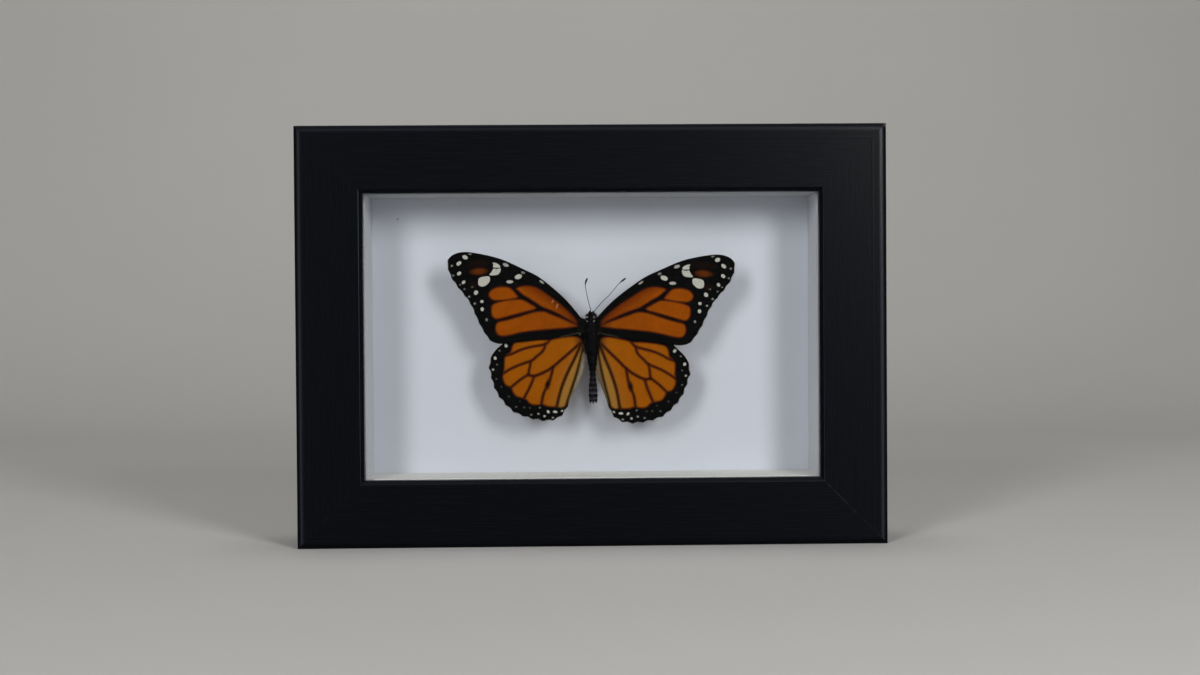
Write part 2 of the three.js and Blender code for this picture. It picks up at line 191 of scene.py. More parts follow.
def rail_mesh(name, length, reach, turn, grain_start):
    section = rail_section()
    girth = np.cumsum([0] + [math.dist(section[i], section[i - 1]) for i in range(1, len(section))])
    girth = [*girth, girth[-1] + math.dist(section[-1], section[0])]
    shape = bmesh.new()
    grain_layer = shape.loops.layers.uv.new("grain")
    swing = Matrix.Rotation(turn, 3, "Y")
    marks = {}
    rings = []
    for end in (-1, 1):
        ring = []
        for inward, depth in section:
            along = end * (length / 2 - inward)
            place = swing @ Vector((along, depth, reach - inward))
            corner = shape.verts.new((place + Vector((0, FRONT, MIDDLE))) * MM)
            marks[corner] = grain_start + along
            ring.append(corner)
        rings.append(ring)
    for i in range(len(section)):
        j = (i + 1) % len(section)
        face = shape.faces.new((rings[0][i], rings[0][j], rings[1][j], rings[1][i]))
        for loop in face.loops:
            far = loop.vert in (rings[0][j], rings[1][j])
            loop[grain_layer].uv = (marks[loop.vert], girth[i + 1] if far else girth[i])
    for ring in rings:
        face = shape.faces.new(ring)
        for loop, (inward, depth) in zip(face.loops, section):
            loop[grain_layer].uv = (grain_start + depth, inward)
    bmesh.ops.recalc_face_normals(shape, faces=shape.faces)
    rubbed = shape.edges.layers.float.new("bevel_weight_edge")
    ends = [set(ring) for ring in rings]
    for edge in shape.edges:
        if any(edge.verts[0] in end and edge.verts[1] in end for end in ends):
            edge[rubbed] = MITRE_EASE
        elif edge.calc_face_angle() > math.radians(30):
            edge[rubbed] = 1
    mesh = closed_mesh(shape, name, lacquer)
    mesh.set_sharp_from_angle(angle=math.radians(30))
    return mesh


def ease_edges(piece, width, limit="ANGLE"):
    """Rubs down a piece's sharp edges and keeps its flat faces flat in the light."""
    bevel = piece.modifiers.new("arris", "BEVEL")
    bevel.width = width * MM
    bevel.segments = 2
    bevel.limit_method = limit
    bevel.angle_limit = math.radians(32)
    level = piece.modifiers.new("flat_faces", "WEIGHTED_NORMAL")
    level.keep_sharp = True
    level.weight = 50


RAILS = (("top", FRAME_WIDTH, FRAME_HEIGHT / 2, 0),
         ("bottom", FRAME_WIDTH, FRAME_HEIGHT / 2, math.pi),
         ("right", FRAME_HEIGHT, FRAME_WIDTH / 2, math.pi / 2),
         ("left", FRAME_HEIGHT, FRAME_WIDTH / 2, -math.pi / 2))
for index, (side, length, reach, turn) in enumerate(RAILS):
    mesh = rail_mesh(f"lacquered_rail_{side}", length, reach, turn, 300 * index)
    piece = set_in(f"lacquered_rail_{side}", mesh, "black_lacquered_wood", f"rail_{side}")
    ease_edges(piece, ARRIS, limit="WEIGHT")

# ---- Pane ------------------------------------------------------------------------------------
# A sheet of 2 mm float glass laid in the rabbet against the lip. It is clear, clean and flat,
# with the faint green of ordinary float and a small reflection that grows towards the sides.
GLASS_IOR = 1.5
pane, tree = new_finish("clear_float_glass")
clear = add(tree, "ShaderNodeBsdfTransparent", {"Color": "#FDFEFE"})
here = add(tree, "ShaderNodeTexCoord").outputs["Object"]
draw_lines = add(tree, "ShaderNodeTexNoise",
                 {"Vector": here, "Scale": 45, "Detail": 1, "Roughness": 0.4})
waver = add(tree, "ShaderNodeBump", {"Strength": 0.04, "Distance": 0.0001, "Height": draw_lines})
shine = add(tree, "ShaderNodeBsdfGlossy", {"Color": "#FFFFFF", "Roughness": 0.012, "Normal": waver})
# Light crosses the sheet unbent, so its inner side is given the mirror of its outer side.
side = add(tree, "ShaderNodeNewGeometry")
facing = add(tree, "ShaderNodeMapRange",
             {0: side.outputs["Backfacing"], 1: 0, 2: 1, 3: GLASS_IOR, 4: 1 / GLASS_IOR})
mirror = add(tree, "ShaderNodeFresnel", {"IOR": facing})
show(tree, add(tree, "ShaderNodeMixShader", {0: mirror, 1: clear, 2: shine}))


def dress(finish, *nodes):
    """Gives CAD pieces whose shape is right their finish."""
    for name in nodes:
        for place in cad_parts[name].material_slots:
            place.material = finish


dress(pane, "glass_pane")

# ---- White box -------------------------------------------------------------------------------
# The well behind the pane: a cool white mount board for the ground, and four strips of 5 mm foam
# board round it that hold the board back from the glass. All have smooth matt white paper faces.
def board_paper(name, low, high):
    made, tree = new_finish(name)
    here = add(tree, "ShaderNodeTexCoord").outputs["Object"]
    fibre_map = add(tree, "ShaderNodeMapping", {"Vector": here, "Scale": (1, 1, 2.4)})
    # Paper fibres are some 0.03 mm wide; they are drawn about 0.3 mm wide so that they show at all.
    fibres = add(tree, "ShaderNodeTexNoise",
                 {"Vector": fibre_map, "Scale": 1600, "Detail": 4, "Roughness": 0.6})
    clouds = add(tree, "ShaderNodeTexNoise",
                 {"Vector": here, "Scale": 40, "Detail": 3, "Roughness": 0.5})
    white = add(tree, "ShaderNodeMix", {0: clouds, 6: low, 7: high}, data_type="RGBA")
    flecks = add(tree, "ShaderNodeMapRange", {0: fibres, 1: 0.3, 2: 0.7, 3: 0.97, 4: 1.0})
    toned = add(tree, "ShaderNodeVectorMath", {0: white, "Scale": flecks}, operation="SCALE")
    # One dark fleck in the board, 67 mm left of the middle and 40.6 mm above it.
    speck = add(tree, "ShaderNodeVectorMath",
                {0: here, 1: (-67.0 * MM, 7.45 * MM, 110.85 * MM)}, operation="DISTANCE")
    fleck = add(tree, "ShaderNodeMapRange", {0: speck, 1: 0.2 * MM, 2: 0.5 * MM, 3: 0.6, 4: 0})
    board = add(tree, "ShaderNodeMix", {0: fleck, 6: toned, 7: "#3A3C42"}, data_type="RGBA")
    tooth = add(tree, "ShaderNodeBump", {"Strength": 0.25, "Distance": 0.00002, "Height": fibres})
    show(tree, add(tree, "ShaderNodeBsdfPrincipled",
                   {"Base Color": board, "Roughness": 0.85, "Specular IOR Level": 0.25,
                    "Normal": tooth}))
    return made


dress(board_paper("cool_white_mount_board", "#D3D6DF", "#D9DCE5"), "mount_board")
# The four strips are one white foam board, painted in three tones for the light each gets: the top
# strip greyer (painted shade under the top rail), the bottom one whitest and warm (painted light on its
# upward face), the two side ones between.
dress(board_paper("foam_board_paper_in_painted_shade", "#B6B7BA", "#BEBFC2"), "liner_top")
dress(board_paper("white_foam_board_paper", "#CFD0D4", "#D6D7DB"), "liner_left", "liner_right")
dress(board_paper("foam_board_paper_with_painted_light", "#EFECE4", "#F4F1EA"), "liner_bottom")

# ---- Back ------------------------------------------------------------------------------------
# A 3 mm hardboard panel closes the back, smooth side out, held by six glazier's points pushed
# into the rabbet. A sawtooth hanger is nailed to the top rail. The fittings are zinc plated.
hardboard, tree = new_finish("tempered_hardboard")
here = add(tree, "ShaderNodeTexCoord").outputs["Object"]
chips = add(tree, "ShaderNodeTexNoise",
            {"Vector": here, "Scale": 700, "Detail": 5, "Roughness": 0.7})
blotches = add(tree, "ShaderNodeTexNoise",
               {"Vector": here, "Scale": 60, "Detail": 3, "Roughness": 0.5})
brown = add(tree, "ShaderNodeMix", {0: chips, 6: "#4A2F1B", 7: "#8A6440"}, data_type="RGBA")
aged = add(tree, "ShaderNodeMix", {0: blotches, 6: brown, 7: "#6B4A2E"}, data_type="RGBA")
pressed = add(tree, "ShaderNodeBump", {"Strength": 0.4, "Distance": 0.00005, "Height": chips})
show(tree, add(tree, "ShaderNodeBsdfPrincipled",
               {"Base Color": aged, "Roughness": 0.58, "Specular IOR Level": 0.4,
                "Normal": pressed}))
dress(hardboard, "back_board")

# Bright zinc plate on stamped steel: pale cool metal with a fine spangle and faint rolling lines.
zinc, tree = new_finish("zinc_plated_steel")
here = add(tree, "ShaderNodeTexCoord").outputs["Object"]
spangle = add(tree, "ShaderNodeTexVoronoi", {"Vector": here, "Scale": 1400})
rolling_map = add(tree, "ShaderNodeMapping", {"Vector": here, "Scale": (1, 1, 9)})
rolling = add(tree, "ShaderNodeTexNoise",
              {"Vector": rolling_map, "Scale": 350, "Detail": 3, "Roughness": 0.6})
plate = add(tree, "ShaderNodeMix",
            {0: spangle.outputs[1], 6: "#A9AEB4", 7: "#C9CDD0"}, data_type="RGBA")
worn = add(tree, "ShaderNodeMapRange", {0: rolling, 1: 0.3, 2: 0.7, 3: 0.28, 4: 0.46})
drawn = add(tree, "ShaderNodeBump", {"Strength": 0.2, "Distance": 0.00002, "Height": rolling})
show(tree, add(tree, "ShaderNodeBsdfPrincipled",
               {"Base Color": plate, "Metallic": 1.0, "Roughness": worn, "Normal": drawn}))


def tumble(node, edge=0.08):
    """Sets in a zinc plated part with its burrs tumbled off, for the plain one."""
    shape = bmesh.new()
    shape.from_mesh(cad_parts[node].data)
    bmesh.ops.remove_doubles(shape, verts=shape.verts, dist=1e-6)
    bmesh.ops.dissolve_limit(shape, angle_limit=math.radians(1), verts=shape.verts,
                             edges=shape.edges)
    mesh = closed_mesh(shape, f"tumbled_{node}", zinc)
    if "custom_normal" in mesh.attributes:
        mesh.attributes.remove(mesh.attributes["custom_normal"])
    mesh.set_sharp_from_angle(angle=math.radians(35))
    ease_edges(set_in(f"tumbled_{node}", mesh, "zinc_steel", node), edge)


for label in ("top_1", "top_2", "bottom_1", "bottom_2", "left", "right"):
    tumble(f"glazing_point_{label}")
tumble("sawtooth_hanger", edge=0.1)
for number in (1, 2):
    tumble(f"hanger_nail_{number}")

# ---- Post ------------------------------------------------------------------------------------
# A short plug of white expanded foam glued to the board. It carries the specimen clear of the
# ground, so that the wings throw soft shadows on it.
foam, tree = new_finish("white_expanded_foam")
here = add(tree, "ShaderNodeTexCoord").outputs["Object"]
beads = add(tree, "ShaderNodeTexVoronoi", {"Vector": here, "Scale": 1500})
# Each bead darkens towards its rim: painted shade in the creases between the beads.
shaded = add(tree, "ShaderNodeMapRange", {0: beads, 1: 0, 2: 0.7, 3: 1, 4: 0.8})
bead_white = add(tree, "ShaderNodeVectorMath",
                 {0: linear("#ECECE8")[:3], "Scale": shaded}, operation="SCALE")
celled = add(tree, "ShaderNodeBump",
             {"Strength": 0.6, "Distance": 0.0002, "Height": beads}, invert=True)
show(tree, add(tree, "ShaderNodeBsdfPrincipled",
               {"Base Color": bead_white, "Roughness": 0.9, "Normal": celled}))
dress(foam, "mounting_post")

# ---- Wings -----------------------------------------------------------------------------------
# Two pairs of dry wings: membrane under 0.1 mm thick stiffened by raised veins and covered with
# rows of coloured scales. Each pair is drawn once, in millimetres out from the root and up, and
# laid to the left and right with the small turns that the setter left in them.
THORAX = (-0.1, -5.15, 71.85)          # the middle of the body
SHEET = 0.14                           # membrane with its scales on both faces
MESH_STEP, EDGE_STEPS = 0.24, 8        # the mesh's spacing; short steps between points of an edge


def smooth_path(points, steps, closed=False):
    """A smooth curve through points, with this many short steps between each two."""
    points = np.array(points, float)
    count = len(points)
    runs = []
    for i in range(count if closed else count - 1):
        if closed:
            a, b, c, d = (points[(i + k) % count] for k in (-1, 0, 1, 2))
        else:
            a, b, c, d = (points[min(max(i + k, 0), count - 1)] for k in (-1, 0, 1, 2))
        t = (np.arange(steps) / steps)[:, None]
        out, into = (c - a) / 2, (d - b) / 2
        runs.append((2 * b - 2 * c + out + into) * t ** 3
                    + (3 * c - 3 * b - 2 * out - into) * t ** 2 + out * t + b)
    if not closed:
        runs.append(points[-1:])
    return np.vstack(runs)


def lengths_along(path):
    """How far along a path each of its points is."""
    return np.concatenate([[0], np.cumsum(np.linalg.norm(np.diff(path, axis=0), axis=1))])


def places_along(path, stations):
    """The places that lie these distances along a path."""
    lengths = lengths_along(path)
    return np.stack([np.interp(stations, lengths, path[:, k]) for k in (0, 1)], axis=1)


def distance_to(places, path, closed=False):
    """How far each place is from a path of straight steps."""
    nearest = np.full(len(places), 1e9)
    ends = np.roll(path, -1, axis=0) if closed else path[1:]
    for a, b in zip(path, ends):
        run = b - a
        t = np.clip(((places - a) @ run) / max(run @ run, 1e-12), 0, 1)
        nearest = np.minimum(nearest, np.linalg.norm(places - (a + t[:, None] * run), axis=1))
    return nearest


def depth_in(places, path):
    """Distance to a closed path, positive inside it and negative outside."""
    inside = np.zeros(len(places), bool)
    for a, b in zip(path, np.roll(path, -1, axis=0)):
        spans = (a[1] > places[:, 1]) != (b[1] > places[:, 1])
        if a[1] != b[1]:
            cross = a[0] + (places[:, 1] - a[1]) * (b[0] - a[0]) / (b[1] - a[1])
            inside ^= spans & (places[:, 0] < cross)
    away = distance_to(places, path, closed=True)
    return np.where(inside, away, -away)


def drawn_depth(places, drawn, steps=4):
    """Depth in the smooth shape drawn through a few points."""
    return depth_in(places, smooth_path(drawn, steps, closed=True))


def soft_least(a, b, blend):
    """The smaller of two distances, with the corner between them rounded."""
    h = np.clip(0.5 + 0.5 * (b - a) / blend, 0, 1)
    return b * (1 - h) + a * h - blend * h * (1 - h)


def spot_depth(places, spots):
    """Depth in the nearest white spot, and that spot's brightness."""
    best = np.full(len(places), -1e9)
    tone = np.zeros(len(places))
    for x, z, half_x, half_z, tilt, bright in spots:
        turn = math.radians(tilt)
        dx, dz = places[:, 0] - x, places[:, 1] - z
        along = dx * math.cos(turn) + dz * math.sin(turn)
        across = dz * math.cos(turn) - dx * math.sin(turn)
        reach = np.sqrt((along / half_x) ** 2 + (across / half_z) ** 2)
        depth = (1 - reach) * min(half_x, half_z)
        nearer = depth > best
        best[nearer] = depth[nearer]
        tone[nearer] = bright
    return best, tone


def wing_sheet(edge, base, margin, waves, dip):
    """A wing's rim, and the places and triangles that fill it. Between two points of the edge its
    margin is scalloped in so many waves, each dipping in this far."""
    drawn = smooth_path(edge, EDGE_STEPS)
    outline = np.vstack([drawn, np.array(base, float)])
    closed = np.vstack([outline, outline[:1]])
    lengths = lengths_along(closed)
    count = int(lengths[-1] / MESH_STEP)
    stations = np.arange(count) * lengths[-1] / count
    rim = places_along(closed, stations)
    start, end = (lengths[EDGE_STEPS * i] for i in margin)
    share = np.clip((stations - start) / (end - start), 0, 1)
    hollow = np.abs(np.sin(math.pi * waves * share))
    heading = np.roll(rim, -1, axis=0) - np.roll(rim, 1, axis=0)
    heading /= np.linalg.norm(heading, axis=1)[:, None]
    area = np.sum(rim[:, 0] * np.roll(rim[:, 1], -1) - rim[:, 1] * np.roll(rim[:, 0], -1))
    outward = np.stack([heading[:, 1], -heading[:, 0]], axis=1) * np.sign(area)
    rim = rim - outward * (dip * hollow)[:, None]
    rows = []
    low, high = rim.min(axis=0), rim.max(axis=0)
    for row, z in enumerate(np.arange(low[1], high[1], MESH_STEP * math.sqrt(0.75))):
        xs = np.arange(low[0] + (row % 2) * MESH_STEP / 2, high[0], MESH_STEP)
        rows.append(np.stack([xs, np.full(len(xs), z)], axis=1))
    grid = np.vstack(rows)
    grid = grid[depth_in(grid, rim) > 0.6 * MESH_STEP]
    places = np.vstack([rim, grid])
    loop = [(i, (i + 1) % count) for i in range(count)]
    solved = delaunay_2d_cdt([Vector(p) for p in places], loop, [], 1, 1e-6)
    places = np.array([tuple(p) for p in solved[0]])
    return {"places": places, "faces": [tuple(f) for f in solved[2]], "rim": rim,
            "outward": outward, "hollow": hollow, "margin": share}


def ridges(places, veins, width=0.22, height=0.09):
    """Height of the raised veins and the slight sag of the membrane between them."""
    away = np.min([distance_to(places, smooth_path(v, 5)) for v in veins], axis=0)
    return height * np.exp(-(away / width) ** 2) - 0.1 * (1 - np.exp(-(away / 1.6) ** 2))


# Each wing: which way out is, how far out its root is, its rise, its depth, its turn in degrees,
# and how far its root end is drawn off the body.
WING_SET = {"left_forewing": (-1, 2.7, 2.8, -5.95, 0.4, 0.8),
            "right_forewing": (1, 2.4, 2.8, -5.95, -1.6, -0.6),
            "left_hindwing": (-1, 2.7, -3.4, -5.05, 0.4, 0.2),
            "right_hindwing": (1, 2.25, -3.4, -5.05, -4.5, 0)}
DRAWN_OFF_FADE = 14                    # a root end is drawn off less and less, up to here


def set_out(wing, out, up):
    """Where a place in a wing's drawing comes to lie once the wing is set: x, y and z."""
    side, root, rise, depth, turn, pull = WING_SET[wing]
    swing = math.radians(turn)
    out = out + pull * np.clip(1 - out / DRAWN_OFF_FADE, 0, 1)
    x = root + out * math.cos(swing) - up * math.sin(swing)
    z = out * math.sin(swing) + up * math.cos(swing)
    return THORAX[0] + side * x, depth, THORAX[2] + rise + z


def lay_wing(wing, sheet, marks, relief, scales):
    """Sets in a closed thin wing made from a drawn sheet, with its marks as attributes."""
    places = sheet["places"]
    count = len(places)
    x, y, z = set_out(wing, places[:, 0], places[:, 1])
    flat = np.stack([x, np.full(count, y), z], axis=1)
    front, back = flat.copy(), flat.copy()
    front[:, 1] -= SHEET / 2 + relief
    back[:, 1] += SHEET / 2 - 0.6 * relief
    ties = dict.fromkeys((a, b) for face in sheet["faces"] for a, b in zip(face, face[1:] + face[:1]))
    borders = [(a, b) for a, b in ties if (b, a) not in ties]
    faces = [*sheet["faces"], *[tuple(count + i for i in reversed(f)) for f in sheet["faces"]]]
    faces += [(b, a, count + a, count + b) for a, b in borders]
    mesh = bpy.data.meshes.new(wing)
    mesh.from_pydata(np.vstack([front, back]) * MM, [], faces)
    shape = bmesh.new()
    shape.from_mesh(mesh)
    bmesh.ops.recalc_face_normals(shape, faces=shape.faces)
    shape.to_mesh(mesh)
    shape.free()
    corners = np.zeros(len(mesh.loops), int)
    mesh.loops.foreach_get("vertex_index", corners)
    drawing = mesh.uv_layers.new(name="drawing")
    side, kind = wing.split("_")
    # A right wing reads its patterns 100 mm away, so that it doesn't repeat the left one's specks.
    both = np.vstack([places, places]) + {"left": 0, "right": 100}[side]
    drawing.data.foreach_set("uv", both[corners].ravel())
    two_sided = {mark: (values, values) for mark, values in marks.items()}
    two_sided["under"] = (np.zeros(count), np.ones(count))
    for mark, values in two_sided.items():
        layer = mesh.attributes.new(mark, "FLOAT", "POINT")
        layer.data.foreach_set("value", np.concatenate(values))
    mesh.shade_smooth()
    mesh.set_sharp_from_angle(angle=math.radians(60))
    mesh.materials.append(scales)
    set_in(wing, mesh, f"{kind}_scales", f"{kind}_{side}")


def scaled_wing(name, rich, bright, deep, rust, pale):
    """Wing scales: flat pigment colour, laid like tiles, with a dry silky surface."""
    made, tree = new_finish(name)
    drawing = add(tree, "ShaderNodeUVMap", uv_map="drawing")
    mark = {}
    for label in ("orange", "white", "tone", "warm", "deep", "pale", "fold", "dusk", "rubbed",
                  "under"):
        mark[label] = add(tree, "ShaderNodeAttribute", attribute_name=label).outputs["Fac"]
    # Scales are 0.1 mm wide and 0.2 mm long; they are drawn about twice that so that they show.
    laid = add(tree, "ShaderNodeMapping", {"Vector": drawing, "Scale": (3.2, 5.2, 1)})
    tiles = add(tree, "ShaderNodeTexVoronoi", {"Vector": laid, "Scale": 1}, voronoi_dimensions="2D")
    drift = add(tree, "ShaderNodeTexNoise",
                {"Vector": drawing, "Scale": 0.22, "Detail": 3, "Roughness": 0.55},
                noise_dimensions="2D")
    tatter = add(tree, "ShaderNodeTexNoise",
                 {"Vector": drawing, "Scale": 2.1, "Detail": 3, "Roughness": 0.6},
                 noise_dimensions="2D")
    frayed = add(tree, "ShaderNodeMath", {0: tatter, 1: 0.34, 2: mark["orange"]},
                 operation="MULTIPLY_ADD")
    edge = add(tree, "ShaderNodeMath", {0: frayed, 1: 0.17}, operation="SUBTRACT")
    rusty = add(tree, "ShaderNodeMapRange", {0: edge, 1: -0.55, 2: -0.12},
                interpolation_type="SMOOTHSTEP")
    lit = add(tree, "ShaderNodeMapRange", {0: edge, 1: -0.22, 2: 0.58},
              interpolation_type="SMOOTHSTEP")
    colour = add(tree, "ShaderNodeMix", {0: drift, 6: rich, 7: bright}, data_type="RGBA")
    # Each wash lies over the one before it, as far as its mark says.
    for label, wash in (("deep", deep), ("pale", pale), ("dusk", "#34160A"), ("rubbed", "#C28F6A")):
        colour = add(tree, "ShaderNodeMix", {0: mark[label], 6: colour, 7: wash}, data_type="RGBA")
    olive_brown = add(tree, "ShaderNodeMix",
                      {0: mark["pale"], 6: rust, 7: "#40280B"}, data_type="RGBA")
    rimmed = add(tree, "ShaderNodeMix", {0: rusty, 6: "#070706", 7: olive_brown}, data_type="RGBA")
    colour = add(tree, "ShaderNodeMix", {0: lit, 6: rimmed, 7: colour}, data_type="RGBA")
    chalk = add(tree, "ShaderNodeMath", {0: tatter, 1: 0.3, 2: mark["white"]},
                operation="MULTIPLY_ADD")
    dotted = add(tree, "ShaderNodeMapRange", {0: chalk, 1: 0.0, 2: 0.16, 3: 0, 4: 1},
                 interpolation_type="SMOOTHSTEP")
    dot = add(tree, "ShaderNodeMath", {0: dotted, 1: mark["tone"]}, operation="MULTIPLY")
    buff = add(tree, "ShaderNodeMath", {0: mark["under"], 1: 0.3}, operation="MULTIPLY")
    for cover, wash in ((mark["warm"], "#76380D"), (mark["fold"], "#79674D"), (dot, "#BEBBB0"),
                        (buff, "#B08A56")):
        colour = add(tree, "ShaderNodeMix", {0: cover, 6: colour, 7: wash}, data_type="RGBA")
    varied = add(tree, "ShaderNodeMapRange", {0: tiles.outputs[1], 1: 0, 2: 1, 3: 0.84, 4: 1.16})
    tiled = add(tree, "ShaderNodeVectorMath", {0: colour, "Scale": varied}, operation="SCALE")
    lifted = add(tree, "ShaderNodeBump",
                 {"Strength": 0.5, "Distance": 0.00004, "Height": tiles}, invert=True)
    show(tree, add(tree, "ShaderNodeBsdfPrincipled",
                   {"Base Color": tiled, "Roughness": 0.72, "Specular IOR Level": 0.045,
                    "Normal": lifted}))
    return made


# Forewings: black with four orange cells, two rows of white dots round the tip, larger white
# patches across it and two brown smudges between them.
FOREWING_EDGE = [
    (0, 1.6), (6, 8.2), (14.5, 15), (20.4, 18.1), (27.7, 21.4), (34.2, 23.1), (40, 23.9),
    (43.8, 23.2), (45.9, 21.4), (46.2, 19.2), (45.3, 16.1), (43.5, 13), (39, 7.2), (37, 3.1),
    (35.3, -0.7), (33.5, -3.8), (31.6, -6.2), (28.4, -7.3), (23.6, -6.9), (15.7, -6), (7.9, -5),
    (2.7, -3.8), (0, -2.4)]
FOREWING_CELLS = [
    [(30.8, 11.2), (28.4, 11.95), (26, 11.9), (24.6, 11.3), (23.3, 9.9), (22.5, 8.9), (22.9, 8.35),
     (25.7, 7.85), (28.4, 7.6), (30.5, 7.7), (31.7, 8.6), (32, 9.8)],
    [(22.6, 11.5), (21.2, 12.1), (18.8, 12.3), (16.4, 11.8), (14.4, 10.8), (12, 9.2), (9.2, 7.2),
     (6.9, 5.5), (4.5, 3.4), (2.7, 1.7), (1.7, 0.3), (1.7, -0.5), (3.4, 0.5), (5.5, 1.7),
     (8.2, 3.1), (11, 4.3), (13.7, 5.3), (15.7, 6.5), (18.1, 8.1), (20.2, 9.3), (21.9, 10.8)],
    [(30.1, 6.3), (28.4, 6.9), (26, 7.4), (23.3, 7.7), (21.2, 7.7), (19.5, 7), (17.8, 6),
     (16.3, 5), (17.1, 4.4), (19.2, 3.9), (21.9, 3.2), (25, 2.4), (27.4, 1.7), (29.1, 1.3),
     (30.3, 1.6), (31.1, 2.8), (31.2, 4.5), (31, 5.6)],
    [(28.8, 0), (26.7, 0.5), (24, 1.2), (20.9, 2.1), (17.8, 3.1), (15.1, 3.6), (13, 3.5),
     (11, 2.7), (8.6, 1.8), (5.8, 0.7), (3.4, -0.3), (1.4, -1.2), (3.1, -1.5), (5.8, -1.8),
     (9.6, -2.05), (13.7, -2.4), (18.1, -2.8), (21.6, -3.4), (24.6, -4.1), (27, -4.5),
     (28.6, -4.3), (29.5, -3.3), (29.8, -1.9), (29.5, -0.7)]]
FOREWING_PATCHES = [
    [(31, 20.4), (29.7, 20.2), (28.6, 19.6), (28.1, 18.7), (29.4, 18.5), (30.7, 18.7), (30.6, 19.5)],
    [(30.6, 18.3), (29.4, 18.2), (28.1, 18.4), (28.2, 17.1), (29, 16.2), (30.6, 15.9), (32, 16.1),
     (31.2, 17.2)],
    [(35.8, 14), (35.4, 15.1), (33.9, 15.6), (32.2, 15.7), (31.7, 15.1), (31.8, 13.9),
     (32.7, 12.8), (33.7, 12.2), (34.9, 12.2), (35.7, 12.8)]]
# Each dot: out, up, half length, half width, tilt in degrees, brightness.
FOREWING_DOTS = [
    (26.4, 19.5, 1.15, 0.62, 20, 0.75), (22.1, 15.5, 1.35, 0.85, -18, 1), (25, 13.8, 1.3, 0.6, 0, 0.9),
    (20.5, 16.9, 0.8, 0.5, 20, 0.4), (14.2, 13.75, 1.1, 0.42, 34, 0.7), (40.2, 22.1, 1, 0.75, 25, 1),
    (38.5, 23.2, 0.7, 0.35, 10, 0.4), (42.3, 20, 1.05, 0.65, -35, 1), (44.7, 19.2, 0.5, 0.45, 0, 0.4),
    (42.2, 16.6, 0.9, 0.65, -40, 1), (44.2, 15.9, 0.5, 0.4, 0, 0.35), (40.7, 13.6, 0.75, 0.6, -50, 1),
    (41.9, 12.8, 0.4, 0.35, 0, 0.35), (36.5, 10.1, 0.9, 0.72, -50, 1), (40.4, 11.3, 0.45, 0.4, 0, 0.3),
    (38.8, 8.7, 0.5, 0.42, 0, 0.5), (34.5, 7.1, 0.65, 0.6, 0, 0.95), (36.9, 6.4, 0.5, 0.42, 0, 0.55),
    (34.4, 4.45, 0.65, 0.75, 0, 1), (32.9, 0.9, 0.5, 0.6, 0, 0.45), (37.8, 12, 0.5, 0.4, 0, 0.2)]
FOREWING_VEINS = [
    [(0, 0), (5.5, 1.5), (11, 3.9), (16, 5.9), (19.3, 8.5), (22.4, 10.6), (27, 12.7), (36, 11.6),
     (41, 10.5)],
    [(0, 0.8), (7, 6.4), (14.4, 11.7), (20, 14.2), (28, 16.6), (35, 19.2), (42.5, 21)],
    [(0, 1.2), (6, 7.4), (14.5, 14.1), (27.7, 20.6), (38, 23.3)],
    [(22.4, 10.6), (24.5, 14), (33, 16), (44.6, 17)],
    [(19.7, 8.1), (24, 7.75), (30.5, 7), (38.7, 7.3)],
    [(14.5, 5), (18, 4), (24, 2.2), (30, 0.7), (36.6, 1.8)],
    [(0, -1), (8, -2.9), (20, -4.2), (27, -5.4), (33.2, -4.2)]]


def smudge(places, x, z, half_x, half_z, tilt, strength):
    """A soft-edged patch of colour."""
    depth, _ = spot_depth(places, [(x, z, half_x, half_z, tilt, 1)])
    return strength * np.clip(0.5 + depth / min(half_x, half_z), 0, 1)


fore_sheet = wing_sheet(FOREWING_EDGE, base=[(-1.6, -2.2), (-1.6, 1.1)], margin=(8, 16), waves=9,
                        dip=0.25)
places = fore_sheet["places"]
none = np.zeros(len(places))
dots, tone = spot_depth(places, FOREWING_DOTS)
for patch in FOREWING_PATCHES:
    depth = drawn_depth(places, patch)
    tone = np.where(depth > dots, 1, tone)
    dots = np.maximum(dots, depth)
fore_marks = {
    "orange": np.max([drawn_depth(places, cell) for cell in FOREWING_CELLS], axis=0) + 0.08,
    "white": dots - 0.14,
    "tone": tone,
    "warm": np.clip(smudge(places, 35.5, 17.3, 2.4, 1, -4, 0.62)
                    + smudge(places, 35.6, 20.1, 3.4, 1.1, -6, 0.035)
                    + smudge(places, 37.4, 12.6, 1.4, 1, 0, 0.04), 0, 1),
    "deep": np.clip(0.9 - 0.22 * distance_to(places, smooth_path(FOREWING_VEINS[1][:4], 5)),
                    0.1, 0.9)
            * np.clip(0.5 + 2 * drawn_depth(places, FOREWING_CELLS[1]), 0.15, 1),
    "pale": none,
    "fold": none,
    "dusk": np.clip(np.maximum((6.5 - places[:, 0]) / 9, 0.0125 * np.minimum(21 - places[:, 0], 8)),
                    0, 0.62),
    "rubbed": none}
scratches = [[(10.4, 6.85), (9.75, 8.05)], [(8.9, 4.95), (8.4, 6.15)], [(8.05, 6.7), (7.7, 7.2)]]
scratched = np.min([distance_to(places, np.array(s)) for s in scratches], axis=0)
fore_relief = ridges(places, FOREWING_VEINS)
fore_scales = scaled_wing("forewing_scales_orange_and_black",
                          "#8B4103", "#A04F04", "#611B02", "#3E1609", "#A57B40")
worn = {**fore_marks, "rubbed": np.clip(0.9 - scratched / 0.35, 0, 0.7)}
lay_wing("left_forewing", fore_sheet, worn, fore_relief, fore_scales)
lay_wing("right_forewing", fore_sheet, fore_marks, fore_relief, fore_scales)

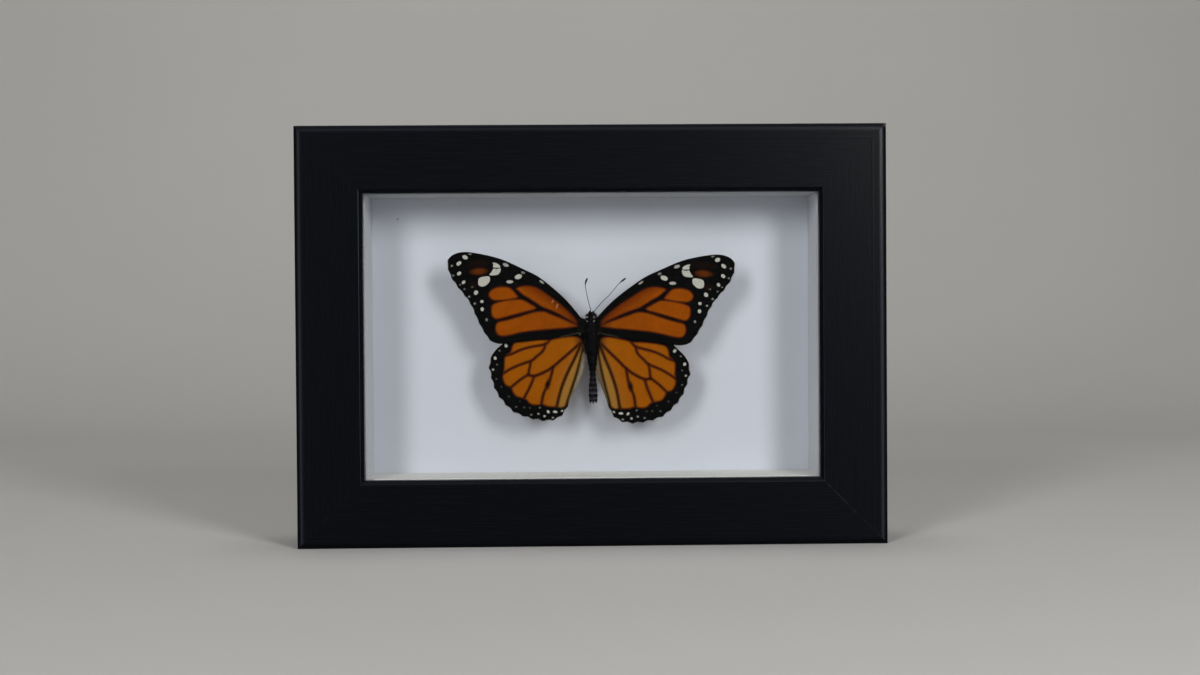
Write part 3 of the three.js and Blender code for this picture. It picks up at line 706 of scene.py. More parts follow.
# Hindwings: one orange field cut into cells by dark veins, a black border with two rows of small
# white dots, a black scent pouch on one vein, and a paler fold beside the body.
HINDWING_EDGE = [
    (0, 4.2), (6.2, 4.1), (14.7, 4.6), (22.2, 3.1), (27, -0.7), (29.8, -3.1), (31.6, -5.8),
    (32.3, -8.9), (31.6, -12.3), (30.7, -15.6), (28.8, -19.3), (24.5, -24), (20.4, -26),
    (16.8, -27), (12.7, -27.5), (9.2, -26.9), (6.8, -25.2), (5.3, -22.6), (3.9, -19.2),
    (2.2, -15.7), (0.4, -12), (-0.5, -8.2), (-0.4, -4.8), (-0.1, -1.4)]
HINDWING_FIELD = [
    (22.9, -0.3), (24.2, -2), (24.7, -3.8), (26.6, -5.5), (26.9, -7.5), (27, -9.9), (27.4, -11.6),
    (27.3, -13.4), (26.4, -15.1), (24.7, -15.9), (24, -17.5), (22.9, -18.9), (20.9, -19.5),
    (19.4, -20.1), (18.5, -21.2), (17.1, -21.8), (15.4, -21.8), (13.9, -21.7), (12.7, -22.2),
    (11, -22.5), (9, -22.6), (7.5, -22.8), (6.1, -22.1), (5.4, -20.4), (4.1, -17.1), (2.7, -13.7),
    (1.4, -9.6), (0.5, -5.1), (0.3, -1.7), (1, 0.4), (3, 1.3), (6, 1.2), (9.6, 0.6), (11.8, 0.1),
    (15, 0.4), (19, 0.3)]
# Each vein: its half width, then its course.
HINDWING_VEINS = [
    (0.34, [(11.2, 0.6), (13, -1.2), (18.1, -2.2), (21.6, -3.25), (24.6, -4.6), (27.5, -5.3)]),
    (0.35, [(13, -1.2), (13.4, -2.7), (14.4, -4.1), (16.1, -5.5), (17.8, -6.9), (21.6, -8.2),
            (25, -9.75), (27.8, -11.5)]),
    (0.34, [(17.8, -6.9), (18.3, -8.9), (18.8, -11.6)]),
    (0.36, [(18.8, -11.6), (21.6, -13.4), (25, -16.2)]),
    (0.4, [(18.8, -11.6), (16.8, -12.1), (13, -10.6), (10.3, -8.9), (7.7, -6.7), (4.4, -3.9),
           (0.6, -0.6)]),
    (0.36, [(16.8, -12.1), (18.1, -15.4), (20.4, -19.9)]),
    (0.38, [(10.3, -8.9), (11, -12), (12, -15.1), (13.5, -17.8), (14.5, -22.2)]),
    (0.42, [(0.6, -1.2), (2.7, -5.8), (4.8, -9.9), (6.5, -13.7), (7.9, -17.8), (9.2, -23)]),
    (0.4, [(0.1, -3.6), (1.5, -8.9), (2.7, -13), (4.1, -17.1), (5.5, -21.6)])]
SCENT_POUCH = (12.15, -14.9, 1.7, 0.75, -72, 1)
HINDWING_DOTS = [
    (26.4, -1.7, 0.75, 0.6, 60, 0.9), (28.6, -3.4, 0.45, 0.4, 0, 0.3), (30.1, -6, 0.65, 0.58, 60, 1),
    (29.4, -8.2, 0.4, 0.35, 0, 0.3), (30.8, -9.9, 0.52, 0.48, 0, 0.65), (29.7, -13.1, 0.4, 0.4, 0, 0.2),
    (12, -24.3, 0.7, 0.5, 50, 1), (9.6, -24.3, 0.9, 0.5, 5, 1), (7.2, -24, 0.6, 0.4, -30, 0.75),
    (14.9, -22.9, 0.5, 0.4, 0, 0.22), (15.4, -25, 0.5, 0.42, 0, 0.5), (17.8, -25.3, 0.5, 0.4, 0, 0.28),
    (13.3, -25.8, 0.52, 0.48, 0, 0.75), (10.4, -26.3, 0.55, 0.4, 0, 0.55),
    (25.5, -19.1, 0.5, 0.45, 0, 0.09), (23, -22.6, 0.45, 0.42, 0, 0.18),
    (20.2, -22.8, 0.5, 0.45, 0, 0.1), (18.3, -23, 0.5, 0.4, 0, 0.08),
    (28, -15.8, 0.45, 0.4, 0, 0.1), (21.7, -20.8, 0.4, 0.4, 0, 0.06)]

hind_sheet = wing_sheet(HINDWING_EDGE, base=[(-1.6, -1), (-1.6, 4)], margin=(6, 17), waves=12,
                        dip=0.42)
places = hind_sheet["places"]
none = np.zeros(len(places))
field = drawn_depth(places, HINDWING_FIELD)
for half_width, course in HINDWING_VEINS:
    field = soft_least(field, distance_to(places, smooth_path(course, 5)) - half_width, blend=0.45)
pouch, _ = spot_depth(places, [SCENT_POUCH])
field = soft_least(field, -pouch, blend=0.3)
dots, tone = spot_depth(places, HINDWING_DOTS)
# The scales pale past the last vein but one, and past the last the wing is a thin grey-cream fold.
(_, inner_vein), (_, last_vein) = HINDWING_VEINS[-2:]
paled = drawn_depth(places, inner_vein + [(3, -26), (-3, -20), (-3, -1)], steps=3)
folded = drawn_depth(places, last_vein + [(3, -24), (-3, -20), (-3, -3)], steps=3)
hind_marks = {
    "orange": field,
    "white": dots - 0.14,
    "tone": tone,
    "warm": none,
    "deep": none,
    "pale": np.where(paled > 0, np.clip(0.5 + 0.5 * paled, 0, 1),
                     0.3 * np.clip(1 + paled / 4, 0, 1)),
    "fold": np.clip((folded - 0.25) / 0.3, 0, 1),
    "dusk": np.clip(0.95 - np.hypot(places[:, 0], places[:, 1] * 0.8) / 3.8, 0, 0.8),
    "rubbed": none}
hind_relief = ridges(places, [course for _, course in HINDWING_VEINS])
hind_scales = scaled_wing("hindwing_scales_amber_and_black",
                          "#955005", "#A15706", "#964B04", "#461A08", "#9B6D2E")
# The right fold is laid on at 0.7 strength, so more of the black beneath shows and it reads darker:
# painted shade where it lies beside the body.
fold_in_painted_shade = {**hind_marks, "fold": 0.7 * hind_marks["fold"]}
lay_wing("left_hindwing", hind_sheet, hind_marks, hind_relief, hind_scales)
lay_wing("right_hindwing", hind_sheet, fold_in_painted_shade, hind_relief, hind_scales)

# ---- Body ------------------------------------------------------------------------------------
# A dry black body: small head with two brown eyes and a pair of furry palps, a woolly thorax and
# a ringed abdomen that ends in three short lobes.
BODY_OUTLINE = [
    (6.4, 0), (6.1, 0.8), (5.6, 1.3), (4.9, 1.7), (4.2, 1.9), (3.6, 1.85), (2.7, 2.1), (1.4, 2.45),
    (-0.7, 2.6), (-3.4, 2.55), (-5.5, 2.4), (-7.5, 2.1), (-9.6, 1.8), (-11.6, 1.5), (-13.7, 1.22),
    (-15.4, 1.12), (-17.1, 1.25), (-19.2, 1.5), (-21.2, 1.6), (-23.1, 1.55), (-24, 1.25), (-24.3, 0)]
FLATTEN = 0.92
RING_PITCH, RING_DEPTH = 1.8, 0.3     # the abdomen's rings
RINGS_BELOW = -7.2
TAIL_LEAN = 0.021                      # the abdomen swings this much to the right per mm down

cuticle, tree = new_finish("black_insect_cuticle")
here = add(tree, "ShaderNodeTexCoord").outputs["Object"]
down = add(tree, "ShaderNodeTexNoise",
           {"Vector": here, "Scale": 4200, "Detail": 3, "Roughness": 0.6})
dusting = add(tree, "ShaderNodeTexNoise",
              {"Vector": here, "Scale": 1300, "Detail": 3, "Roughness": 0.65})
dust = add(tree, "ShaderNodeMapRange", {0: dusting, 1: 0.54, 2: 0.76, 3: 0, 4: 1})
horn = add(tree, "ShaderNodeMix", {0: dust, 6: "#030303", 7: "#26222A"}, data_type="RGBA")
# The rear edge of every ring is greyer, more so towards the tail.
height = add(tree, "ShaderNodeSeparateXYZ", {0: here})
turns = add(tree, "ShaderNodeMath",
            {0: height.outputs["Z"], 1: -1 / (RING_PITCH * MM),
             2: (THORAX[2] + RINGS_BELOW) / RING_PITCH}, operation="MULTIPLY_ADD")
phase = add(tree, "ShaderNodeMath", {0: turns}, operation="FRACT")
rear = add(tree, "ShaderNodeMapRange", {0: phase, 1: 0.45, 2: 0.85, 3: 0.1, 4: 0.9})
towards_tail = add(tree, "ShaderNodeMapRange",
                   {0: height.outputs["Z"], 1: 0.058, 2: 0.051, 3: 0.05, 4: 1})
greyed = add(tree, "ShaderNodeMath", {0: rear, 1: towards_tail}, operation="MULTIPLY")
speckled = add(tree, "ShaderNodeMapRange", {0: dusting, 1: 0.38, 2: 0.6, 3: 0.2, 4: 1})
edged = add(tree, "ShaderNodeMath", {0: greyed, 1: speckled}, operation="MULTIPLY")
ringed = add(tree, "ShaderNodeMix", {0: edged, 6: horn, 7: "#4C4650"}, data_type="RGBA")
pitted = add(tree, "ShaderNodeBump", {"Strength": 0.7, "Distance": 0.00008, "Height": down})
show(tree, add(tree, "ShaderNodeBsdfPrincipled",
               {"Base Color": ringed, "Roughness": 0.55, "Specular IOR Level": 0.07,
                "Normal": pitted}))

body_line = smooth_path(BODY_OUTLINE, 6)


def half_width_at(up):
    """Half the body's width this high above the thorax's middle."""
    return np.interp(-np.asarray(up, float), -body_line[:, 0], body_line[:, 1])


def body_place(up, around, swell=0.0):
    """A place on the body's skin; around is 0 at its right and a quarter turn at its front."""
    width = half_width_at(up) + swell
    if up < RINGS_BELOW:
        phase = (RINGS_BELOW - up) / RING_PITCH
        width -= RING_DEPTH * (phase - math.floor(phase)) ** 2
    return Vector((THORAX[0] + width * math.cos(around) + TAIL_LEAN * max(0, -up),
                   THORAX[1] - FLATTEN * width * math.sin(around), THORAX[2] + up))


def join_rings(shape, rings):
    """Stretches faces between each ring of corners and the next."""
    for ring, following in zip(rings, rings[1:]):
        for k in range(len(ring)):
            n = (k + 1) % len(ring)
            shape.faces.new((ring[k], ring[n], following[n], following[k]))


AROUND, LEVEL_STEP = 40, 0.16
shape = bmesh.new()
levels = np.arange(6.3, -24.2, -LEVEL_STEP)
head_end = shape.verts.new(body_place(BODY_OUTLINE[0][0], 0) * MM)
tail_end = shape.verts.new(body_place(BODY_OUTLINE[-1][0], 0) * MM)
rings = [[shape.verts.new(body_place(u, 2 * math.pi * k / AROUND) * MM) for k in range(AROUND)]
         for u in levels]
join_rings(shape, rings)
for k in range(AROUND):
    n = (k + 1) % AROUND
    shape.faces.new((head_end, rings[0][n], rings[0][k]))
    shape.faces.new((tail_end, rings[-1][k], rings[-1][n]))


def from_thorax(right, front, up):
    """A place given from the middle of the thorax."""
    return Vector((THORAX[0] + right, THORAX[1] - front, THORAX[2] + up))


def add_bead(shape, centre, half_sizes, fineness):
    """Adds a smooth bead to a shape, its centre given from the thorax."""
    place = Matrix.Translation(from_thorax(*centre) * MM)
    grown = place @ Matrix.Diagonal((*[s * MM for s in half_sizes], 1))
    bmesh.ops.create_icosphere(shape, subdivisions=fineness, radius=1, matrix=grown)


# Lobes: centre from the thorax (right, front, up), then half sizes. Two palps, three tail lobes.
LOBES = (((-0.5, 0.7, 6.1), (0.42, 0.5, 0.7)), ((0.6, 0.7, 6.0), (0.42, 0.5, 0.65)),
         ((-0.52, 0, -23.7), (0.4, 0.9, 1.2)), ((0.5, 0, -23.9), (0.34, 0.8, 1.2)),
         ((1.5, 0, -23.6), (0.4, 0.9, 1.2)))
for centre, half_sizes in LOBES:
    add_bead(shape, centre, half_sizes, fineness=3)
bmesh.ops.recalc_face_normals(shape, faces=shape.faces)
# Body and lobes are grown into one closed skin, and its small steps are smoothed away.
body = bpy.data.objects.new("black_body", closed_mesh(shape, "black_body", cuticle))
bpy.context.scene.collection.objects.link(body)
skin = body.modifiers.new("one_skin", "REMESH")
skin.mode = "VOXEL"
skin.voxel_size = 0.13 * MM
skin.use_smooth_shade = True
relax = body.modifiers.new("relax", "SMOOTH")
relax.iterations = 2
relax.factor = 0.5


def settled(piece, name):
    """The mesh that a piece's modifiers make, with the piece itself cleared away."""
    solved = piece.evaluated_get(bpy.context.evaluated_depsgraph_get())
    made = bpy.data.meshes.new_from_object(solved)
    made.name = name
    bpy.data.objects.remove(piece)
    return made


mesh = settled(body, "black_body_skin")
mesh.materials.clear()
mesh.materials.append(cuticle)
mesh.shade_smooth()
set_in("black_body_skin", mesh, "black_body_hair", "butterfly_body")

# Compound eyes: glossy dark brown beads, faceted too finely to see, one at each side of the head.
eye, tree = new_finish("compound_eye_cuticle")
here = add(tree, "ShaderNodeTexCoord").outputs["Object"]
facets = add(tree, "ShaderNodeTexVoronoi", {"Vector": here, "Scale": 9000})
lens = add(tree, "ShaderNodeMix", {0: facets, 6: "#231611", 7: "#0B0808"}, data_type="RGBA")
domed = add(tree, "ShaderNodeBump",
            {"Strength": 0.4, "Distance": 0.00003, "Height": facets}, invert=True)
show(tree, add(tree, "ShaderNodeBsdfPrincipled",
               {"Base Color": lens, "Roughness": 0.25, "Normal": domed}))
shape = bmesh.new()
for right in (-1.35, 1.35):
    add_bead(shape, (right, 0.55, 4.95), (0.66, 0.85, 0.8), fineness=4)
set_in("compound_eyes", closed_mesh(shape, "compound_eyes", eye), "black_body_hair")

# ---- Hair and fringes ------------------------------------------------------------------------
# Hair-like scales: black wool on the thorax, short down on the abdomen, grey-olive tufts where
# the wings join, four white tufts behind the head, and a fine fringe round every wing margin.
wool, tree = new_finish("insect_hair")
shade = add(tree, "ShaderNodeAttribute", attribute_name="shade")
here = add(tree, "ShaderNodeTexCoord").outputs["Object"]
mottle = add(tree, "ShaderNodeTexNoise",
             {"Vector": here, "Scale": 1500, "Detail": 2, "Roughness": 0.5})
swing = add(tree, "ShaderNodeMath", {0: mottle, 1: 0.06, 2: shade.outputs["Fac"]},
            operation="MULTIPLY_ADD")
tint = add(tree, "ShaderNodeValToRGB", {0: swing})
tint.color_ramp.elements[0].position = 0.06
tint.color_ramp.elements[0].color = linear("#050505")
tint.color_ramp.elements[1].position = 1.0
tint.color_ramp.elements[1].color = linear("#DCE0E8")
olive = tint.color_ramp.elements.new(0.5)
olive.color = linear("#6E6A58")
cream = tint.color_ramp.elements.new(0.82)
cream.color = linear("#DCD6C6")
show(tree, add(tree, "ShaderNodeBsdfPrincipled",
               {"Base Color": tint, "Roughness": 0.6, "Specular IOR Level": 0.04}))

# One tapered, slightly bent hair stands on every point of a mesh, along that point's "lie".
strands = bpy.data.node_groups.new("hair_on_points", "GeometryNodeTree")
face = strands.interface
face.new_socket("Geometry", in_out="INPUT", socket_type="NodeSocketGeometry")
STRAND_INPUTS = {}
for label, kind in (("Slenderness", "NodeSocketFloat"), ("Bend", "NodeSocketFloat"),
                    ("Seed", "NodeSocketInt"), ("Finish", "NodeSocketMaterial")):
    STRAND_INPUTS[label] = face.new_socket(label, in_out="INPUT", socket_type=kind).identifier
face.new_socket("Geometry", in_out="OUTPUT", socket_type="NodeSocketGeometry")
given = add(strands, "NodeGroupInput")
blade = add(strands, "GeometryNodeMeshCone",
            {"Vertices": 3, "Side Segments": 3, "Radius Top": 0.004,
             "Radius Bottom": given.outputs["Slenderness"], "Depth": 1.0})
where = add(strands, "GeometryNodeInputPosition")
parts = add(strands, "ShaderNodeSeparateXYZ", {0: where})
squared = add(strands, "ShaderNodeMath", {0: parts.outputs["Z"], 1: parts.outputs["Z"]},
              operation="MULTIPLY")
drop = add(strands, "ShaderNodeMath", {0: squared, 1: given.outputs["Bend"]}, operation="MULTIPLY")
lean = add(strands, "ShaderNodeCombineXYZ", {"X": drop})
bent = add(strands, "GeometryNodeSetPosition", {"Geometry": blade, "Offset": lean})
lie = add(strands, "GeometryNodeInputNamedAttribute", {"Name": "lie"}, data_type="FLOAT_VECTOR")
long = add(strands, "GeometryNodeInputNamedAttribute", {"Name": "long"}, data_type="FLOAT")
spin = add(strands, "FunctionNodeRandomValue",
           {2: 0.0, 3: 2 * math.pi, 8: given.outputs["Seed"]}, data_type="FLOAT")
spun = add(strands, "FunctionNodeAxisAngleToRotation", {"Axis": (0, 0, 1), "Angle": spin})
aimed = add(strands, "FunctionNodeAlignRotationToVector",
            {"Rotation": spun, "Vector": lie}, axis="Z")
stood = add(strands, "GeometryNodeInstanceOnPoints",
            {"Points": given.outputs["Geometry"], "Instance": bent,
             "Rotation": aimed, "Scale": long})
real = add(strands, "GeometryNodeRealizeInstances", {0: stood})
dyed = add(strands, "GeometryNodeSetMaterial",
           {"Geometry": real, "Material": given.outputs["Finish"]})
add(strands, "NodeGroupOutput", {0: dyed})


def grow(name, roots, slenderness, bend, seed):
    """Hair on a list of roots, each with its place, direction, length and shade."""
    places, ways, lengths, shades = (np.array(column, float) for column in zip(*roots))
    mesh = bpy.data.meshes.new(f"{name}_roots")
    mesh.from_pydata(places * MM, [], [])
    mesh.attributes.new("lie", "FLOAT_VECTOR", "POINT").data.foreach_set("vector", ways.ravel())
    mesh.attributes.new("long", "FLOAT", "POINT").data.foreach_set("value", lengths * MM)
    mesh.attributes.new("shade", "FLOAT", "POINT").data.foreach_set("value", shades)
    host = bpy.data.objects.new(f"{name}_roots", mesh)
    bpy.context.scene.collection.objects.link(host)
    growth = host.modifiers.new("hair", "NODES")
    growth.node_group = strands
    for label, value in (("Slenderness", slenderness), ("Bend", bend), ("Seed", seed),
                         ("Finish", wool)):
        growth[STRAND_INPUTS[label]] = value
    made = settled(host, name)
    made.shade_smooth()
    return made


draw = np.random.default_rng(seed=31)


def jitter(amount):
    return Vector(draw.normal(0, amount, 3))


# Wool on the thorax and head, swept back towards the tail, and short down on the abdomen.
WOOL_HAIRS, DOWN_HAIRS, PALP_HAIRS = 2600, 2400, 110
roots = []
for _ in range(WOOL_HAIRS):
    up = draw.uniform(-7.5, 6.0)
    around = draw.uniform(0, 2 * math.pi)
    out = Vector((math.cos(around), -math.sin(around), 0))
    sweep = Vector((0, 0, 0.7 if up > 4.6 else -0.9))
    way = out * 0.75 + sweep + jitter(0.28)
    length = draw.uniform(0.55, 1.15) * (0.75 if up > 3 else 1)
    grey = 0.35 if draw.uniform() < 0.035 else 0
    roots.append((body_place(up, around, -0.1), way, length, grey + draw.uniform(0, 0.06)))
for _ in range(DOWN_HAIRS):
    up = draw.uniform(-24.1, -7.0)
    around = draw.uniform(0, 2 * math.pi)
    out = Vector((math.cos(around), -math.sin(around), 0))
    way = out * 0.25 + Vector((0, 0, -1)) + jitter(0.12)
    edge_of_ring = (RINGS_BELOW - up) / RING_PITCH % 1 > 0.7
    grey = 0.46 if edge_of_ring and draw.uniform() < (0.75 if up < -15 else 0.2) else 0
    roots.append((body_place(up, around, -0.1), way, draw.uniform(0.2, 0.4),
                  grey + draw.uniform(0, 0.08)))
# Palps: two brushes of longer hair at the front of the head.
for x in (-0.5, 0.6):
    for _ in range(PALP_HAIRS):
        way = Vector((x * 0.4, -0.4, 1)) + jitter(0.3)
        spot = from_thorax(x, 0.8, 6.0) + jitter(0.16)
        roots.append((spot, way, draw.uniform(0.35, 0.65), draw.uniform(0, 0.14)))
# White tufts behind the eyes and on the collar.
for x, up, count, bright in ((-1.5, 4.55, 60, 0.92), (0.9, 4.55, 64, 1.0), (-1.45, 3.2, 54, 0.8),
                             (0.9, 3.15, 50, 0.74)):
    for _ in range(count):
        spot = from_thorax(x, 2.05, up) + jitter(0.11)
        way = Vector((0.1 * x, -1, 0)) + jitter(0.5)
        roots.append((spot, way, draw.uniform(0.35, 0.5), bright + draw.uniform(-0.08, 0)))
set_in("body_wool", grow("body_wool", roots, slenderness=0.045, bend=0.22, seed=5),
       "black_body_hair")


def wing_place(wing, out, up, lift=0.0):
    """A place on the front of a set wing, from its drawing."""
    x, y, z = set_out(wing, out, up)
    return Vector((x, y - lift, z))


def wing_way(wing, out, up):
    """A direction drawn on a wing, turned with the wing."""
    return wing_place(wing, out, up) - wing_place(wing, 0, 0)


# Tufts at the wing roots, and long thin hair along the fold beside the abdomen: how many hairs
# that fold has, and how light the lightest is.
ROOT_HAIRS, STREAK_HAIRS, TUFT_HAIRS = 380, 150, 26
roots = []
# The right fold's hair is no lighter than 0.4, against the left's 0.85, so it stays grey: painted shade
# beside the body.
for side, fold_hairs, lightest in (("left", 520, 0.85), ("right", 90, 0.4)):
    fore, hind = f"{side}_forewing", f"{side}_hindwing"
    for _ in range(ROOT_HAIRS):
        out, up = draw.uniform(-1.4, 0.9), draw.uniform(-3.2, 1.8)
        way = wing_way(fore, 1, 0.2 * up) + Vector((0, -0.3, 0)) + jitter(0.25)
        roots.append((wing_place(fore, out, up, 0.05), way, draw.uniform(0.6, 1.5),
                      draw.uniform(0, 0.16)))
    for _ in range(STREAK_HAIRS):
        share = draw.uniform(0, 1) ** 1.4
        out, up = 0.2 + 6.5 * share, -3.5 - 1.3 * share + draw.uniform(-0.25, 0.25)
        way = wing_way(fore, 1, -0.16) + Vector((0, -0.1, 0)) + jitter(0.1)
        roots.append((wing_place(fore, out, up, 0.05), way, draw.uniform(0.9, 1.8),
                      draw.uniform(0.08, 0.34)))
    for _ in range(TUFT_HAIRS):
        out, up = draw.uniform(-0.2, 0.4), draw.uniform(-4.1, -3.5)
        way = wing_way(fore, 1, -0.3) + Vector((0, -0.5, 0)) + jitter(0.25)
        roots.append((wing_place(fore, out, up, 0.4), way, draw.uniform(0.5, 0.9),
                      draw.uniform(0.45, 0.65)))
    for _ in range(fold_hairs):
        share = draw.uniform(0, 1)
        out, up = -0.9 + 3.9 * share ** 1.7, 0.4 - 16.5 * share
        way = wing_way(hind, -0.25 + 0.2 * share, -1) + jitter(0.08)
        roots.append((wing_place(hind, out + draw.uniform(-0.5, 0.5), up, 0.03), way,
                      draw.uniform(1.2, 2.4) * (1 - 0.6 * share),
                      min(lightest, 0.24 + 0.95 * share) + draw.uniform(-0.16, 0.1)))
set_in("wing_root_hair", grow("wing_root_hair", roots, slenderness=0.016, bend=0.12, seed=8),
       "black_body_hair")

# Fringe: one fine hair every 0.08 mm round each margin, white in the hollows, black on the tips.
HAIRS_PER_STEP = 3
for wing in WING_SET:
    sheet = fore_sheet if "fore" in wing else hind_sheet
    rim, outward, hollow = sheet["rim"], sheet["outward"], sheet["hollow"]
    roots = []
    for i in range(len(rim)):
        if not 0 < sheet["margin"][i] < 1:
            continue
        for _ in range(HAIRS_PER_STEP):
            slide = draw.uniform(0, 1)
            spot = rim[i] * (1 - slide) + rim[(i + 1) % len(rim)] * slide - outward[i] * 0.12
            way = wing_way(wing, *outward[i]) + jitter(0.12)
            pale = 0.75 * max(0.0, hollow[i] - 0.55) / 0.45 * draw.uniform(0.3, 1)
            roots.append((wing_place(wing, *spot), way, draw.uniform(0.3, 0.5), pale))
    fringe = grow(f"{wing}_fringe", roots, slenderness=0.1, bend=0.05, seed=11)
    set_in(f"{wing}_fringe", fringe, wing.split("_")[1] + "_scales")

# ---- Antennae --------------------------------------------------------------------------------
# Two fine black stalks of many short joints, each with a slim club at the end, set in the top of
# the head. The left one bends over near its tip and the right one lies out along the wing.
antenna_horn, tree = new_finish("black_antenna_horn")
here = add(tree, "ShaderNodeTexCoord").outputs["Object"]
joints = add(tree, "ShaderNodeTexNoise",
             {"Vector": here, "Scale": 3000, "Detail": 2, "Roughness": 0.5})
dark = add(tree, "ShaderNodeMix", {0: joints, 6: "#100F13", 7: "#222024"}, data_type="RGBA")
show(tree, add(tree, "ShaderNodeBsdfPrincipled",
               {"Base Color": dark, "Roughness": 0.5, "Specular IOR Level": 0.2}))
ANTENNA_COURSE = {
    "left": (-1, [(0.5, 5.6), (0.2, 6.9), (0.9, 9.8), (1.6, 13), (1.95, 15.3), (1.75, 16.6),
                  (1.2, 17.9)]),
    "right": (1, [(0.6, 5.5), (1.1, 6.6), (3.6, 9.5), (6.2, 12), (8.2, 14.4), (9.6, 16), (11.9, 17.8)])}
STALK, CLUB, CLUB_LENGTH = 0.12, 0.36, 2.7
SIDES, STATIONS, JOINT = 10, 110, 0.5
for name, (side, course) in ANTENNA_COURSE.items():
    path = smooth_path(course, 16)
    length = lengths_along(path)[-1]
    stations = np.linspace(0, length, STATIONS)
    line = places_along(path, stations)
    heading = np.gradient(line, axis=0)
    heading /= np.linalg.norm(heading, axis=1)[:, None]
    shape = bmesh.new()
    rings = []
    for station, (out, up), (run_out, run_up) in zip(stations, line, heading):
        to_end = (length - station) / CLUB_LENGTH
        swell = max(0.0, math.sin(math.pi * max(0.0, 1 - to_end) ** 1.4)) ** 0.8
        radius = STALK * (1 - 0.25 * station / length) + (CLUB - STALK) * swell
        radius *= 1 + 0.08 * math.sin(station * 2 * math.pi / JOINT)
        ring = []
        for k in range(SIDES):
            turn = 2 * math.pi * k / SIDES
            across = radius * math.cos(turn)
            place = from_thorax(side * (out + across * run_up), -radius * math.sin(turn),
                                up - across * run_out)
            ring.append(shape.verts.new(place * MM))
        rings.append(ring)
    join_rings(shape, rings)
    shape.faces.new(rings[0])
    shape.faces.new(rings[-1])
    bmesh.ops.recalc_face_normals(shape, faces=shape.faces)
    mesh = closed_mesh(shape, f"jointed_antenna_{name}", antenna_horn)
    set_in(f"jointed_antenna_{name}", mesh, "black_antenna", f"antenna_{name}")

# ---- Studio ----------------------------------------------------------------------------------
# A pale matt sweep of paper for floor and background, two tall soft lamps on the left and right of
# the front, a broad weak fill, a wash on the paper behind, and pale air all round. The camera looks
# straight at the pane.
sweep_paper, tree = new_finish("pale_sweep_paper")
here = add(tree, "ShaderNodeTexCoord").outputs["Object"]
paper_clouds = add(tree, "ShaderNodeTexNoise",
                   {"Vector": here, "Scale": 3, "Detail": 3, "Roughness": 0.5})
sweep_colour = add(tree, "ShaderNodeMix",
                   {0: paper_clouds, 6: "#C9C7C3", 7: "#D1CFCC"}, data_type="RGBA")
show(tree, add(tree, "ShaderNodeBsdfPrincipled",
               {"Base Color": sweep_colour, "Roughness": 0.9, "Specular IOR Level": 0.1}))
WALL, SWEEP_RADIUS, SWEEP_HALF, NEAR_EDGE, TOP_EDGE = 0.95, 0.5, 3.5, -4.0, 3.0    # in metres
profile = [(NEAR_EDGE, 0), (-1, 0), (WALL - SWEEP_RADIUS, 0)]
profile += [(WALL - SWEEP_RADIUS * (1 - math.sin(a)), SWEEP_RADIUS * (1 - math.cos(a)))
            for a in np.linspace(0, math.pi / 2, 24)[1:]]
profile += [(WALL, TOP_EDGE)]
mesh = bpy.data.meshes.new("studio_sweep")
mesh.from_pydata([(x, y, z) for x in (-SWEEP_HALF, SWEEP_HALF) for y, z in profile], [],
                 [(i, i + len(profile), i + len(profile) + 1, i + 1)
                  for i in range(len(profile) - 1)])
mesh.shade_smooth()
mesh.materials.append(sweep_paper)
sweep = bpy.data.objects.new("studio_sweep", mesh)
bpy.context.scene.collection.objects.link(sweep)
sweep.visible_glossy = False           # keeps the lit paper out of the pane


def lamp(name, place, size, watts, tint="#FFFFFF", tall=1, glossy=True,
         target=(0, 0, MIDDLE * MM)):
    """A soft round or upright oval lamp, in metres, aimed at the frame's middle or a target."""
    light = bpy.data.lights.new(name, "AREA")
    light.shape = "ELLIPSE"
    light.size = size
    light.size_y = size * tall
    light.energy = watts
    light.color = linear(tint)[:3]
    holder = bpy.data.objects.new(name, light)
    holder.location = place
    aim = Vector(target) - Vector(place)
    holder.rotation_euler = aim.to_track_quat("-Z", "Y").to_euler()
    holder.visible_camera = False
    holder.visible_glossy = glossy
    bpy.context.scene.collection.objects.link(holder)


lamp("lamp_left", (-0.72, -1.35, 0.6), size=0.45, watts=11.5, tall=1.7, glossy=False)
lamp("lamp_right", (0.505, -0.86, 0.44), size=0.3, watts=5.55, tall=1.7)
lamp("front_fill", (0, -1.7, 0.5), size=1.4, watts=0.3, tint="#F4F7FF", glossy=False)
lamp("wall_wash", (0, 0.15, 1.5), size=0.6, watts=4.4, tint="#FFFDFA", glossy=False,
     target=(0, 0.9, 0.1))

air = bpy.data.worlds.new("studio_air")
air.use_nodes = True
air.node_tree.nodes.clear()
tree = air.node_tree
aim = add(tree, "ShaderNodeTexCoord")
axes = add(tree, "ShaderNodeSeparateXYZ", {0: aim.outputs["Generated"]})
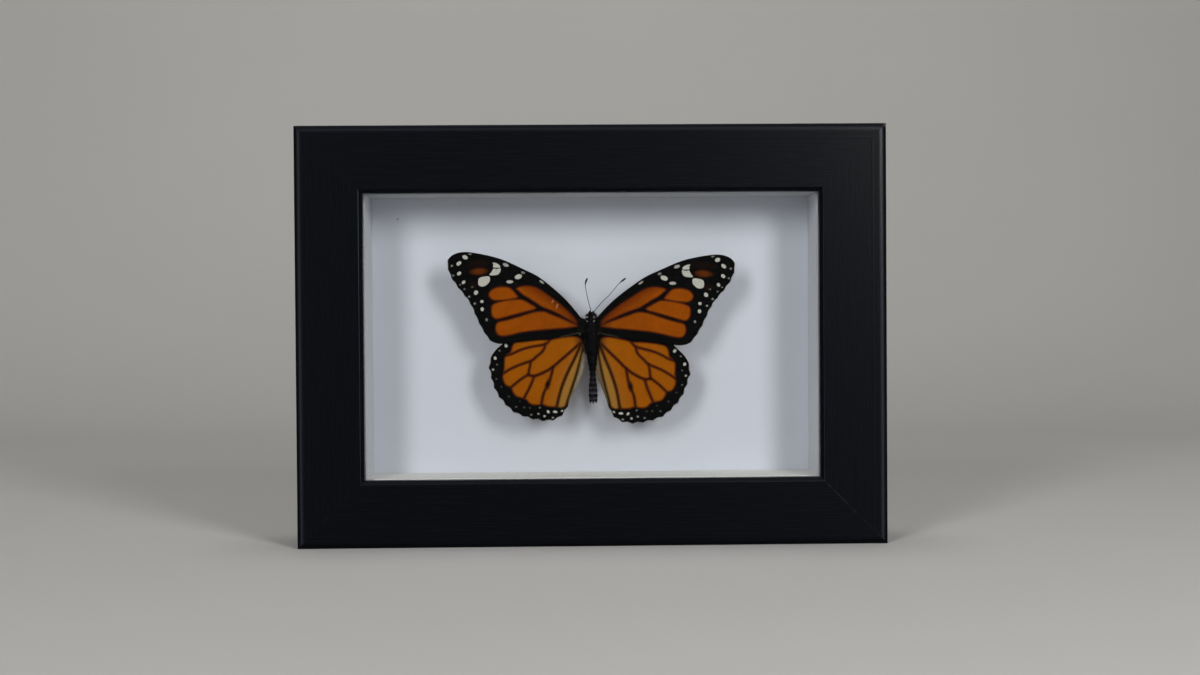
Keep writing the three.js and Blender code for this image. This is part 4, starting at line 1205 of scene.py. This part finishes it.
# The air is dim straight ahead of the pane, so that the glass stays clear. Gloss alone also sees
# a soft ring of window light round that dark middle and a pale ceiling, which draw the bead.
# Each band: its axis, where it begins and ends, its strength at those two, and its blend.
band = {}
for name, axis, begin, end, first, last, blend in (
        ("ahead", "Y", -0.9, 0.2, 0.01, 0.06, "SMOOTHSTEP"),
        ("inner", "Y", -0.93, -0.87, 0, 1, "SMOOTHSTEP"),
        ("outer", "Y", -0.81, -0.7, 1, 0, "SMOOTHSTEP"),
        ("upper", "Z", -0.46, -0.04, 0, 1, "SMOOTHSTEP"),
        ("slope", "X", -0.5, 0.5, 3.6, 4.8, "LINEAR"),
        ("lofty", "Z", 0.15, 0.45, 1, 0.5, "LINEAR"),
        ("ceiling", "Z", 0.6, 0.95, 0, 0.7, "SMOOTHSTEP")):
    band[name] = add(tree, "ShaderNodeMapRange",
                     {0: axes.outputs[axis], 1: begin, 2: end, 3: first, 4: last},
                     interpolation_type=blend)
window = band["inner"]
for name in ("outer", "upper", "slope", "lofty"):
    window = add(tree, "ShaderNodeMath", {0: window, 1: band[name]}, operation="MULTIPLY")
bright = add(tree, "ShaderNodeMath", {0: window, 1: band["ceiling"]}, operation="ADD")
seen = add(tree, "ShaderNodeLightPath")
glossed = add(tree, "ShaderNodeMath",
              {0: bright, 1: seen.outputs["Is Glossy Ray"], 2: band["ahead"]},
              operation="MULTIPLY_ADD")
level = add(tree, "ShaderNodeMix", {0: seen.outputs["Is Camera Ray"], 2: glossed, 3: 0.5})
hue = add(tree, "ShaderNodeMix", {0: seen.outputs["Is Glossy Ray"], 6: "#F3F4F6",
                                  7: "#DCE3F6"}, data_type="RGBA")
glow = add(tree, "ShaderNodeBackground", {"Color": hue, "Strength": level})
add(tree, "ShaderNodeOutputWorld", {"Surface": glow})
bpy.context.scene.world = air

CAMERA_PLACE = Vector((-7.8, -539.5, 77.8))
RIGHT, UP = Vector((0.99978, -0.02, -0.00707)), Vector((0.00738, 0.01549, 0.99985))
camera = bpy.data.cameras.new("camera")
camera.lens = 47.03
camera.sensor_width = 36
camera.clip_start = 0.01
camera.clip_end = 20
eye_point = bpy.data.objects.new("camera", camera)
turned = Matrix((RIGHT, UP, RIGHT.cross(UP))).transposed()
eye_point.matrix_world = Matrix.Translation(CAMERA_PLACE * MM) @ turned.to_4x4()
bpy.context.scene.collection.objects.link(eye_point)
bpy.context.scene.camera = eye_point
bpy.context.scene.view_settings.view_transform = "Standard"
